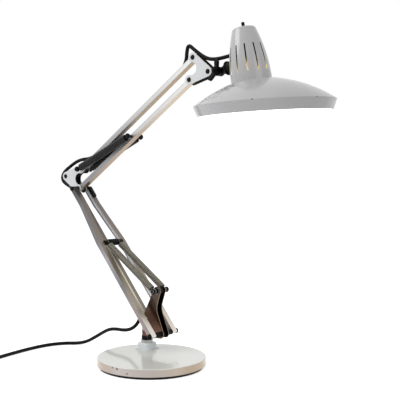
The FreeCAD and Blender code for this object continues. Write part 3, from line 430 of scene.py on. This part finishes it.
def lit_glass(name):
    """Frosted glass of the lit bulb: white round its filament, amber and dim at its neck."""
    material, tree, shader = new_material(name, "#fff8ea", 0.4)
    place = place_in_mm(tree)
    height = maths(tree, "SUBTRACT", dot(tree, place, CAP_AXIS), CAP_CENTRE.dot(CAP_AXIS) / MM)
    stops = [(0.0, "#fff6e0"), (0.35, "#e6d8a8"), (0.6, "#a3935c"), (1.0, "#66593a")]
    set_socket(tree, shader, "Emission Color", ramp(tree, from_range(tree, height, -5.0, 40.0), stops))
    strength = node(
        tree, "MapRange",
        {"Value": height, "From Min": 0.0, "From Max": 22.0, "To Min": 1.5, "To Max": 0.5}
    )
    set_socket(tree, shader, "Emission Strength", strength.outputs["Result"])
    set_bump(tree, shader, noise(tree, place, 2.0, 2.0), 0.02)
    return material


def away_from(tree, centre):
    """How far the surface faces away from a point, for the outside of a hollow form."""
    where = node(tree, "TexCoord").outputs["Object"]
    arm = node(tree, "VectorMath", {0: where, 1: tuple(centre)}, operation="SUBTRACT").outputs[0]
    unit = node(tree, "VectorMath", {0: arm}, operation="NORMALIZE").outputs[0]
    normal = node(tree, "TexCoord").outputs["Normal"]
    return node(tree, "VectorMath", {0: unit, 1: normal}, operation="DOT_PRODUCT").outputs["Value"]


def shade_paint(name, colour, inner_point, inside, chips=(), painted_slot_lines=False):
    """The shade's grey enamel outside, and inside it the colour of its inner face with a painted glow of
    the lit lamp.
    """
    material = enamel(name, colour, chips, under="#3a3430", dust=0.04, tint=shade_painted_darkening, shine=0.5)
    tree = material.node_tree
    shader = tree.nodes["Principled BSDF"]
    outside = from_range(tree, away_from(tree, inner_point), -0.05, 0.1)
    painted = shader.inputs["Base Color"].links[0].from_socket
    place = place_in_mm(tree)
    # painted shade and reflection: dark lines round the foot of the cap
    if painted_slot_lines:
        painted = painted_slot_marks(tree, place, painted)
    from_base = maths(tree, "SUBTRACT", dot(tree, place, CAP_AXIS), CAP_CENTRE.dot(CAP_AXIS) / MM)
    lining_and_painted_glow, strength = inside(tree, from_base)
    set_socket(tree, shader, "Base Color", mixed(tree, outside, lining_and_painted_glow, painted))
    set_socket(tree, shader, "Emission Color", lining_and_painted_glow)
    # painted glow: the inside of the shade emits light
    lit = maths(tree, "MULTIPLY", maths(tree, "SUBTRACT", 1.0, outside), strength)
    set_socket(tree, shader, "Emission Strength", lit)
    return material


def painted_slot_marks(tree, place, paint):
    """Short painted dark lines in the bowl round the foot of the cap, in line with its slots: painted
    shade and reflection, as the bowl's shape has no marks there.
    """
    across = Vector((0, 1, 0)).cross(CAP_AXIS).cross(CAP_AXIS).normalized()
    along_x = across.cross(CAP_AXIS)
    x = maths(tree, "SUBTRACT", dot(tree, place, along_x), CAP_CENTRE.dot(along_x) / MM)
    y = maths(tree, "SUBTRACT", dot(tree, place, across), CAP_CENTRE.dot(across) / MM)
    radius = maths(
        tree, "SQRT",
        maths(tree, "ADD", maths(tree, "MULTIPLY", x, x), maths(tree, "MULTIPLY", y, y))
    )
    turn = maths(tree, "MULTIPLY", maths(tree, "ARCTAN2", y, x), 6 / math.pi)
    nearest = maths(tree, "PINGPONG", maths(tree, "ADD", turn, 12.15), 0.5)
    thin = from_range(tree, nearest, 0.07, 0.02)
    band = maths(
        tree, "MULTIPLY", from_range(tree, radius, 41.0, 42.5), from_range(tree, radius, 52.0, 47.0)
    )
    share = maths(tree, "MULTIPLY", maths(tree, "MULTIPLY", thin, band), 0.5)
    return mixed(tree, share, paint, "#6c6c70")


def bowl_lining_painted_glow(tree, from_base):
    """White reflector with a painted glow of the lamp's light, so bright that it hides its own shape."""
    return mixed(tree, 0.0, "#fffdf6", "#fffdf6"), maths(tree, "ADD", 0.95, 0.0)


def cap_painted_light_and_shade(tree, from_base):
    """Painted warm light at the foot of the cap, and painted shade behind the lampholder's collar higher
    up.
    """
    stops = [(0.0, "#efe0aa"), (0.2, "#a8935a"), (0.36, "#4c4128"), (0.5, "#0e0c0a"), (1.0, "#080808")]
    colour = ramp(tree, from_range(tree, from_base, 10.0, 90.0), stops)
    return colour, maths(tree, "MULTIPLY", from_range(tree, from_base, 50.0, 16.0), 0.6)


def build_materials():
    """Every finish of the lamp, under the name of what it is."""
    # Colours along each bar, from its start to its far end: painted reflections and painted shade.
    upper_sides = [
        (0.0, "#8e8e90"), (0.15, "#9a9a9c"), (0.3, "#adadb0"), (0.55, "#c4c4c5"), (0.8, "#d8d8d8"),
        (1.0, "#e2e2e2")
    ]
    arm_web = [
        (0.0, "#5c4f3d"), (0.1, "#97826f"), (0.3, "#b09a84"), (0.55, "#b49f86"), (0.7, "#cebeac"),
        (1.0, "#ddccb5")
    ]
    link_web = [(0.0, "#2c2620"), (0.3, "#463f38"), (0.5, "#a3927c"), (0.75, "#b39d81"), (1.0, "#b8a48a")]
    lower_sides = [
        (0.0, "#a29694"), (0.2, "#9d918e"), (0.32, "#77767a"), (0.5, "#a5a3a7"), (0.62, "#7c7b7e"),
        (0.85, "#77777a"), (1.0, "#4b4a4a")
    ]
    lower_web = [
        (0.0, "#e8e2da"), (0.2, "#beb5a4"), (0.4, "#8d8273"), (0.62, "#857a70"), (0.88, "#776d66"),
        (1.0, "#403c37")
    ]
    mid_web = [(0.0, "#8a857a"), (0.3, "#8d8474"), (0.6, "#6f675f"), (1.0, "#57524c")]
    mid_sides = [
        (0.0, "#87837a"), (0.15, "#d2cbb8"), (0.3, "#beb7a5"), (0.4, "#767464"), (0.6, "#777069"),
        (0.85, "#767677"), (1.0, "#3a3a3a")
    ]
    lower = (LOWER_ANGLE, BRACKET_ARM, LOWER_REACH)
    middle = (LOWER_ANGLE, BRACKET_LINK, LOWER_REACH)
    upper = (UPPER_ANGLE, ELBOW_ARM, UPPER_REACH)
    top = (UPPER_ANGLE, ELBOW_TOP, UPPER_REACH)
    base_chips = [(48.2, -154.9, 18.0, 1.0), (59.7, -154.7, 17.0, 1.5), (81.9, -150.9, 10.5, 1.0)]
    shade_chips = [(340.4, -122.9, 514.6, 1.2), (344.5, -121.5, 516.0, 0.7), (416.7, -36.4, 521.4, 0.9)]
    return {
        # gloss enamel of the base, with painted shade and a painted warm reflection round its edge
        "base": enamel("base_white_enamel", "#d9dad4", base_chips, tint=base_wall_painted_light, shine=0.65),
        # the same enamel on the hub, painted a little colder and paler all over, as light falls on its
        # lit face
        "hub": enamel("hub_pale_enamel", "#dfe4e8"),
        # cast iron: dark, rough and sandy, unseen inside the base
        "iron": plain_finish("cast_iron_weight", "#3c3b3a", 0.75, 0.4, 2.5, 0.12),
        # moulded rubber: near black and matt, it eats the light under the base
        "rubber": plain_finish("black_rubber", "#0b0a0a", 0.9, 0.0, 1.6, 0.05),
        # turned steel: bright and nearly smooth, with narrow highlights
        "steel": plain_finish("bright_turned_steel", "#a9aaa8", 0.28, 0.95, 1.2, 0.01),
        # oil-blackened steel: very dark, with a faint soft shine
        "black_steel": plain_finish(
            "blackened_steel", "#060606", 0.5, 0.0, 1.4, 0.02, Specular_IOR_Level=0.12
        ),
        # polished plate: a dark mirror, with the brown of a room painted into its colour as a reflection
        "chrome": bracket_metal("polished_bracket_plate"),
        # pale paint on pressed steel, smooth outside and black inside
        "plate": lever_plate("painted_lever_plate", "#dddfe1", "#0f0f0f", "#c9c9c9"),
        # drawn steel channels: bright, with lengthwise streaks that are partly die marks and partly
        # painted reflection, and painted reflections and shade along each bar
        "lower_bar": bar_metal("bright_lower_bars", *lower, lower_sides, lower_web, "#a9a294"),
        "lower_link": bar_metal("bright_lower_link", *middle, mid_sides, mid_web, "#cfc8b4"),
        "upper_bar": bar_metal("bright_upper_bar", *upper, upper_sides, arm_web, "#b9b6b0"),
        "upper_link": bar_metal("bright_upper_link", *top, upper_sides, link_web, "#b9b6b0"),
        # close-wound zinc-plated wire, dulled to olive
        "zinc": plain_finish("dulled_zinc_wire", "#7c786e", 0.34, 0.6, 1.2, 0.01, 0.2),
        # black spring wire: a low shine along each turn
        "black_wire": plain_finish("black_spring_wire", "#0e0c0b", 0.36, 0.2, 1.2, 0.01, 0.2),
        # soft PVC sheath: black, with a dull even shine
        "flex": plain_finish(
            "black_pvc_flex", "#060606", 0.5, 0.0, 1.2, 0.02, 0.15, Specular_IOR_Level=0.12
        ),
        # moulded plastic: black and finely grained
        "plastic": plain_finish(
            "black_moulded_plastic", "#070707", 0.5, 0.0, 0.9, 0.02, 0.1, Specular_IOR_Level=0.12
        ),
        # hard pressed resin: dark brown to black, slightly glossy
        "bakelite": plain_finish(
            "dark_lampholder_plastic", "#0b0908", 0.45, 0.0, 1.0, 0.02, 0.1, Specular_IOR_Level=0.3
        ),
        # plated screw cap of the bulb: yellow metal, slightly worn
        "brass": plain_finish("brass_screw_cap", "#b08d4a", 0.3, 0.9, 0.8, 0.01, 0.1),
        # grey stoved enamel outside, white reflector inside with a painted glow of the lamp's light;
        # painted warm light and painted shade inside the cap
        "bowl": shade_paint(
            "shade_bowl_enamel", "#b4b4b6", RIM_CENTRE, bowl_lining_painted_glow, shade_chips, painted_slot_lines=True
        ),
        "cap": shade_paint("shade_cap_enamel", "#b6b6b8", CAP_CENTRE + CAP_AXIS * 0.04, cap_painted_light_and_shade),
        # acid-frosted glass: it scatters the light, so that no filament shows
        "glass": lit_glass("lit_frosted_glass"),
    }


M = build_materials()

NODE_FINISH = {
    "base": "base_shell",
    "iron": "base_weight",
    "rubber": "base_pad",
    "hub": "hub_block",
    "steel": "pivot_bush bracket_pins bracket_spring_axle",
    "black_steel": (
        "swivel_spindle bracket_arm_axle bracket_spacers lower_cross_axle lower_cross_spacers"
        " elbow_arm_axle elbow_spacers elbow_spring_axle elbow_link_pin upper_spring_axle"
        " head_arm_pin head_link_pin head_yoke_pin head_yoke tilt_bolt tilt_stub cap_saddle"
    ),
    "chrome": "bracket_plate_near bracket_plate_far",
    "plate": "elbow_plate_near elbow_plate_far head_plate_near head_plate_far",
    "lower_bar": "lower_bar_near lower_bar_far",
    "lower_link": "lower_link_bar",
    "upper_bar": "upper_arm_bar",
    "upper_link": "upper_link_bar",
    "plastic": "lower_bar_stop flex_grommet switch_body",
    "bowl": "shade_bowl",
    "cap": "shade_cap",
}


def paint_nodes():
    for finish, names in NODE_FINISH.items():
        for name in names.split():
            for place in NODES[name].material_slots:
                place.material = M[finish]


# ---------------------------------------------------------------- mesh pieces


def mesh_piece(name, points, faces, material):
    mesh = bpy.data.meshes.new(name)
    mesh.from_pydata([tuple(p) for p in points], [], faces)
    for face in mesh.polygons:
        face.use_smooth = True
    mesh.materials.append(material)
    mesh.update()
    return add_object(name, mesh)


def rings_to_faces(count, sides):
    """Faces between rings of points, and one over each end."""
    faces = []
    for ring in range(count - 1):
        for i in range(sides):
            a = ring * sides + i
            b = ring * sides + (i + 1) % sides
            faces.append((a, b, b + sides, a + sides))
    faces.append(tuple(reversed(range(sides))))
    faces.append(tuple(range((count - 1) * sides, count * sides)))
    return faces


def tube_points(line, radius, sides):
    """Rings round a line, carried along it without twist. radius is a number or one per point."""
    points = []
    heading = (line[1] - line[0]).normalized()
    across = heading.orthogonal().normalized()
    last = len(line) - 1
    for i, centre in enumerate(line):
        ahead = (line[min(i + 1, last)] - line[max(i - 1, 0)]).normalized()
        across = (across - ahead * across.dot(ahead)).normalized()
        up = ahead.cross(across)
        wide = radius[i] if isinstance(radius, list) else radius
        for k in range(sides):
            turn = 2 * math.pi * k / sides
            points.append(centre + (across * math.cos(turn) + up * math.sin(turn)) * wide)
    return points


def tube(name, line, radius, material, sides=14):
    return mesh_piece(name, tube_points(line, radius, sides), rings_to_faces(len(line), sides), material)


def smooth_line(name, points, per_point=8):
    """Points read from the smooth NURBS line whose control points are the route."""
    curve = bpy.data.curves.new(name, "CURVE")
    curve.dimensions = "3D"
    curve.resolution_u = per_point
    spline = curve.splines.new("NURBS")
    spline.points.add(len(points) - 1)
    for control, point in zip(spline.points, points):
        control.co = (*point, 1.0)
    spline.order_u = 3
    spline.use_endpoint_u = True
    holder = add_object(name, curve)
    bpy.context.view_layer.update()
    line_mesh = bpy.data.meshes.new_from_object(holder)
    line = [vertex.co.copy() for vertex in line_mesh.vertices]
    bpy.data.objects.remove(holder)
    bpy.data.meshes.remove(line_mesh)
    return line


def lathe(name, profile, place, material, sides=40, round_mm=0.0):
    """A turned piece. The profile is (radius, height) in millimetres, about the place's Z axis."""
    rings = [max(radius, 0.02) for radius, _ in profile]
    points = []
    for radius, (_, height) in zip(rings, profile):
        for k in range(sides):
            turn = 2 * math.pi * k / sides
            local = Vector((radius * math.cos(turn), radius * math.sin(turn), height)) * MM
            points.append(place @ local)
    piece = mesh_piece(name, points, rings_to_faces(len(profile), sides), material)
    if round_mm:
        soften(piece, round_mm)
    return piece


def soften(piece, width_mm, segments=2):
    """Round the sharp edges of a piece, as a mould or a press leaves them."""
    bevel = piece.modifiers.new("soft_edges", "BEVEL")
    bevel.width = width_mm * MM
    bevel.segments = segments
    bevel.limit_method = "ANGLE"
    bevel.angle_limit = math.radians(35)
    bevel.harden_normals = True


def set_on(point, axis):
    """A place whose Z axis lies along an axis."""
    turn = Z_AXIS.rotation_difference(axis).to_matrix().to_4x4()
    return Matrix.Translation(point) @ turn


# ---------------------------------------------------------------- mains cord

CORD_RADIUS = 3.75 * MM
CORD_ROUTE = [
    (-18.5, 0, 91),
    (-20, 0, 81),
    (-31, 0, 65),
    (-48, 0, 54),
    (-68, 0, 50),
    (-90, 0, 50),
    (-112, 0, 46.5),
    (-134, 0, 35),
    (-157, 0, 22),
    (-181, 0, 9.5),
    (-204, -6, 3.75),
    (-226, -22, 3.75),
    (-241, -48, 3.75),
    (-247, -82, 3.75),
    (-246, -122, 3.75),
    (-241, -166, 3.75),
    (-234, -212, 3.75),
    (-226, -256, 3.75),
    (-220.5, -296, 3.75),
]
COIL_CENTRE = (-270.5, -330.0)
COIL_TURNS = 4.5
COIL_STEPS = 24
TAIL_ROUTE = [
    (-321.5, -308, 10),
    (-318, -292, 8.5),
    (-313, -278, 7),
]


def coil_points():
    """Two layers of turns: inwards on the desk, then outwards on top of them."""
    points = []
    steps = int(COIL_TURNS * COIL_STEPS)
    for step in range(steps + 1):
        turns = step / COIL_STEPS
        inwards = min(turns, 2.0)
        climb = min(max((turns - 2.0) / 0.3, 0.0), 1.0)
        outwards = max(turns - 2.3, 0.0)
        radius = 50.0 + 7.6 * (outwards - inwards)
        height = 3.75 + 7.6 * climb * climb * (3 - 2 * climb)
        angle = -2 * math.pi * turns
        x = COIL_CENTRE[0] + radius * math.cos(angle)
        y = COIL_CENTRE[1] + radius * math.sin(angle)
        points.append((x, y, height))
    return points


def build_cord():
    """The free lead, from where it leaves the bracket to the plug that lies beside its coil."""
    route = [Vector(p) * MM for p in CORD_ROUTE + coil_points() + TAIL_ROUTE]
    line = smooth_line("mains_cord_line", route, 6)
    cord = tube("mains_cord_sheath", line, CORD_RADIUS, M["flex"])
    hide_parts("mains_cord", "cord_coil", "plug_lead")
    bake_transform(cord)
    plug = build_plug()


def build_plug():
    """A flat two-pin plug with a ribbed strain relief."""
    end = Vector(TAIL_ROUTE[-1]) * MM
    place = Matrix.Translation(end)
    outline = [
        (4.2, -2.0, 5.0), (5.6, 2.0, 5.6), (9.5, 9.0, 6.4), (12.6, 16.0, 6.8), (12.9, 26.0, 6.9),
        (12.2, 33.6, 6.7)
    ]
    sides = 24
    points = []
    for half, run, thick in outline:
        for k in range(sides):
            turn = 2 * math.pi * k / sides
            flat = 0.55
            c, s = math.cos(turn), math.sin(turn)
            x = half * math.copysign(abs(c) ** flat, c)
            z = thick * math.copysign(abs(s) ** flat, s)
            points.append(place @ (Vector((x, run, z)) * MM))
    body = mesh_piece("plug_body", points, rings_to_faces(len(outline), sides), M["plastic"])
    soften(body, 1.2, 3)
    relief_profile = []
    for i in range(9):
        run = -24.0 + 2.7 * i
        wide = 4.4 + 0.1 * i
        relief_profile += [
            (wide + 0.7, run), (wide + 0.7, run + 1.5), (wide, run + 1.7), (wide, run + 2.5)
        ]
    lean = (Vector(TAIL_ROUTE[-1]) - Vector(TAIL_ROUTE[-2])).normalized()
    relief = lathe("plug_relief", relief_profile, set_on(end, lean), M["plastic"], 20)
    pieces = [body, relief]
    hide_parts("mains_plug")
    for side in (-1, 1):
        pin_place = set_on(end + Vector((side * 9.5, 33.0, 0)) * MM, Y_AXIS)
        profile = [(2.0, 0), (2.0, 17.0), (1.7, 19.2), (1.0, 20.0), (0.0, 20.0)]
        name = "plug_pin_left" if side < 0 else "plug_pin_right"
        pieces.append(lathe(name, profile, pin_place, M["steel"], 16))
    for piece in pieces:
        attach(piece, "base")
    return pieces


# ---------------------------------------------------------------- flex held by the arm

LINK_FLEX_SIDE = 0.8
UPPER_FLEX_SIDE = 0.4


def on_elbow(points):
    return [ELBOW_ARM + spot(*point) for point in points]


def on_head(points):
    return [HEAD_ARM + spot(*point) for point in points]


def flex_piece(name, route, node_name, body, to_body=None):
    line = smooth_line(name + "_line", route, 6)
    piece = tube(name, line, CORD_RADIUS, M["flex"])
    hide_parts(node_name)
    if to_body is None:
        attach(piece, body)
    else:
        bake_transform(piece)
    return piece


def build_flex():
    """The flex, which runs in the two middle bars and loops round each joint."""
    def link(distance):
        return along(BRACKET_LINK, LOWER_ANGLE, distance, LINK_FLEX_SIDE)

    def top(distance):
        return along(ELBOW_TOP, UPPER_ANGLE, distance, UPPER_FLEX_SIDE)

    drop = spot(-17, 101)
    start = Vector(CORD_ROUTE[0]) * MM
    flex_piece(
        "flex_at_bracket", [link(75), link(50), drop, start], "bracket_flex", "bracket",
        "lower_link"
    )
    flex_piece("flex_in_lower_link", [link(75), link(190), link(310)], "lower_link_flex", "lower_link")
    turn = ELBOW_ARM + spot(-60.75, 23.25)
    rise = on_elbow([(-33, 3.5), (-48, 9.5), (-60, 17.5)])
    flex_piece(
        "flex_below_elbow", [link(310), link(337), *rise, turn], "elbow_flex_lower", "lower_link",
        "elbow"
    )
    over = on_elbow([(-61.5, 29), (-52, 40.5), (-35, 50.5), (-15, 61), (5, 66.5), (29, 67.5)])
    flex_piece(
        "flex_over_elbow", [turn, *over, top(60), top(85)], "elbow_flex_upper", "elbow",
        "upper_link"
    )
    flex_piece("flex_in_upper_link", [top(85), top(200), top(315)], "upper_link_flex", "upper_link")
    rise = on_head([(-13.5, 39), (-12.5, 60), (-8, 72), (6, 60.5)])
    middle, pivot, last = on_head([(15, 54), (69, 37), (80, 37.8)])
    across = on_head([(24, 47.5), (40, 39), (58, 36.2)])
    flex_piece(
        "flex_over_head", [top(315), top(342), *rise, middle], "head_flex_arm", "upper_link",
        "head"
    )
    flex_piece(
        "flex_to_stub", [middle, *across, pivot], "head_flex_stub", "head", "tilt_stub",
    )
    entry = last + STUB_AXIS * 0.019
    flex_piece(
        "flex_into_shade", [pivot, last, entry], "shade_flex", "tilt_stub", "shade"
    )


# ---------------------------------------------------------------- springs


def spring_line(first, last, radius, wire, end_room, hook):
    """The wire's own line: an eye, a shank, close turns, a shank and an eye."""
    way = (last - first).normalized()
    side = way.cross(Y_AXIS).normalized()
    length = (last - first).length
    line = []
    for k in range(20, 2, -1):
        turn = math.radians(360.0 * k / 20)
        line.append(first + way * hook * math.cos(turn) + side * hook * math.sin(turn))
    line.append(first + way * (end_room * 0.6) + side * (hook * 0.5))
    steps = 18
    body = length - 2 * end_room
    turns = int(body / (2.06 * wire))
    centre_radius = radius - wire
    for k in range(turns * steps + 1):
        turn = 2 * math.pi * k / steps
        run = end_room + wire + (body - 2 * wire) * k / (turns * steps)
        offset = side * math.cos(turn) + Y_AXIS * math.sin(turn)
        line.append(first + way * run + offset * centre_radius)
    line.append(last - way * (end_room * 0.6) + side * (hook * 0.5))
    for k in range(3, 21):
        turn = math.radians(360.0 * k / 20)
        line.append(last - way * hook * math.cos(turn) + side * hook * math.sin(turn))
    return line


def build_springs():
    wire = 1.0 * MM
    hook = 4.25 * MM
    sets = [
        (
            "lower_spring", BRACKET_ANCHOR, LOWER_HOOK, 17.0, 7.0, "zinc", "zinc_spring", "bracket",
            "lower_arm"
        ),
        (
            "upper_spring", ELBOW_TOP, UPPER_HOOK, 17.5, 8.0, "black_wire", "black_spring", "elbow",
            "upper_arm"
        ),
    ]
    for name, start, end, y, radius, finish, slot, low_body, high_body in sets:
        for side_name, side in (("near", -1), ("far", 1)):
            offset = Y_AXIS * (side * y * MM)
            line = spring_line(start + offset, end + offset, radius * MM, wire, 8 * MM, hook)
            piece = tube(f"{name}_coils_{side_name}", line, wire, M[finish], 6)
            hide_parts(f"{name}_{side_name}")
            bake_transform(piece)


# ---------------------------------------------------------------- shade, bulb and switch


def build_bulb():
    place = set_on(CAP_CENTRE, CAP_AXIS)
    profile = [
        (0.0, -38.0), (8.0, -36.9), (15.5, -33.6), (22.0, -28.4), (27.0, -21.2), (29.7, -12.5),
        (29.9, -5.0), (28.4, 3.0), (24.6, 11.0), (19.5, 18.5), (15.4, 26.0), (13.4, 33.0),
        (12.8, 39.0)
    ]
    glass = lathe("bulb_glass", profile, place, M["glass"], 48)
    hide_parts("bulb")
    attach(glass, "shade")
    thread = [(12.6, 38.0)]
    for i in range(6):
        low = 40.0 + 3.4 * i
        thread += [(12.2, low), (13.0, low + 1.7)]
    thread += [(12.0, 61.0), (6.0, 63.0), (0.0, 63.5)]
    screw = lathe("bulb_screw_cap", thread, place, M["brass"], 32)
    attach(screw, "shade")
    holder_profile = [
        (13.6, 42.0), (17.0, 42.0), (19.0, 44.0), (19.0, 52.0), (17.8, 53.0), (17.8, 66.0),
        (19.0, 67.0), (19.0, 76.0), (16.0, 80.0), (0.0, 80.0)
    ]
    holder = lathe("lampholder_shell", holder_profile, place, M["bakelite"], 40, 0.4)
    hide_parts("lampholder")
    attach(holder, "shade")


def build_switch():
    """The stem of the rotary push switch, with its nut on top of the cap."""
    place = set_on(CAP_CENTRE, CAP_AXIS)
    profile = [(3.2, 91.5), (3.2, 112.2), (2.6, 113.3), (0.0, 113.5)]
    stem = lathe("switch_stem", profile, place, M["plastic"], 24)
    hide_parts("switch_rod")
    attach(stem, "switch_rod")
    collar = [(3.1, 101.6), (4.6, 101.6), (4.6, 102.9), (4.0, 103.4), (3.1, 103.4)]
    ring = lathe("switch_collar", collar, place, M["plastic"], 24)
    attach(ring, "shade")


def build_wing_nut():
    """Two swept wings on a coned boss."""
    place = Matrix.Translation(TILT) @ Matrix.Rotation(math.radians(25.0), 4, "Y")
    boss = [(3.2, 7.8), (6.5, 7.8), (6.4, 10.5), (5.2, 17.0), (4.4, 17.8), (3.2, 17.8)]
    near = set_on(TILT, -Y_AXIS)
    cone = lathe("wing_nut_boss", boss, near, M["black_steel"], 28, 0.4)
    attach(cone, "wing_nut")
    outline = [
        (3.0, 10.0), (8.0, 10.6), (13.0, 13.0), (18.5, 15.6), (21.6, 18.6), (21.4, 21.6),
        (18.4, 22.8), (13.0, 20.6), (8.0, 17.0), (3.0, 15.4)
    ]
    for side, name in ((-1, "wing_nut_low_wing"), (1, "wing_nut_high_wing")):
        points = []
        for x in (-4.6, 4.6):
            points += [place @ (Vector((x, -y, side * z)) * MM) for z, y in outline]
        count = len(outline)
        faces = [tuple(range(count)), tuple(reversed(range(count, 2 * count)))]
        faces += [(i, i + count, (i + 1) % count + count, (i + 1) % count) for i in range(count)]
        wing = mesh_piece(name, points, faces, M["black_steel"])
        soften(wing, 2.4, 4)
        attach(wing, "wing_nut")
    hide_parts("wing_nut")


def fitting(name, profile, centre, side, y, body, finish="black_steel", slot="black_steel", sides=32):
    """A small turned fitting on an axle along Y, from y outwards on one side."""
    outward = Y_AXIS * side
    place = set_on(centre + outward * y * MM, outward)
    piece = lathe(name, profile, place, M[finish], sides, FITTING_EDGE)
    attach(piece, body)


def build_small_fittings():
    """Nuts, washers and end caps on the axles."""
    nut = [(3.0, 0.0), (6.4, 0.0), (6.4, 3.4), (5.2, 4.0), (3.0, 4.0)]
    washer = [(3.0, 0.0), (6.9, 0.0), (6.9, 0.8), (3.0, 0.8)]
    knob = [(0.0, 5.2), (2.4, 5.0), (4.6, 4.0), (5.8, 2.4), (6.0, 0.0), (3.0, 0.0)]
    rivet = [(0.0, 3.2), (2.4, 3.0), (4.2, 2.3), (5.2, 1.0), (5.2, 0.0), (3.0, 0.0)]
    end_caps = [
        ("anchor_cap", knob, BRACKET_ANCHOR, 20.5, "bracket"),
        ("arm_axle_cap", knob, BRACKET_ARM, 41.4, "bracket"),
        ("elbow_axle_cap", rivet, ELBOW_ARM, 27.7, "elbow"),
        ("elbow_spring_cap", knob, ELBOW_TOP, 20.0, "elbow"),
        ("upper_spring_cap", knob, UPPER_HOOK, 20.0, "upper_arm"),
    ]
    for side, name in ((-1, "near"), (1, "far")):
        fitting(f"anchor_nut_{name}", nut, BRACKET_ANCHOR, side, 9.9, "bracket", sides=6)
        metal = {"finish": "steel", "slot": "bright_steel"}
        fitting(f"anchor_washer_{name}", washer, BRACKET_ANCHOR, side, 9.1, "bracket", **metal)
        for cap, profile, centre, y, body in end_caps:
            fitting(f"{cap}_{name}", profile, centre, side, y, body)
    sleeve = [(3.0, 0.0), (6.2, 0.0), (6.2, 14.6), (3.0, 14.6)]
    collar = [(5.6, 0.0), (7.4, 0.6), (7.4, 27.4), (5.6, 28.0)]
    fitting("cross_axle_collar", collar, LOWER_HOOK, 1, -14.0, "lower_arm")
    fitting("anchor_sleeve", sleeve, BRACKET_ANCHOR, 1, -7.3, "bracket")


build_camera()
build_floor()
build_world()
build_light()
bpy.context.scene.view_settings.view_transform = "Standard"
paint_nodes()
build_cord()
build_flex()
build_springs()
build_bulb()
build_switch()
build_wing_nut()
build_small_fittings()
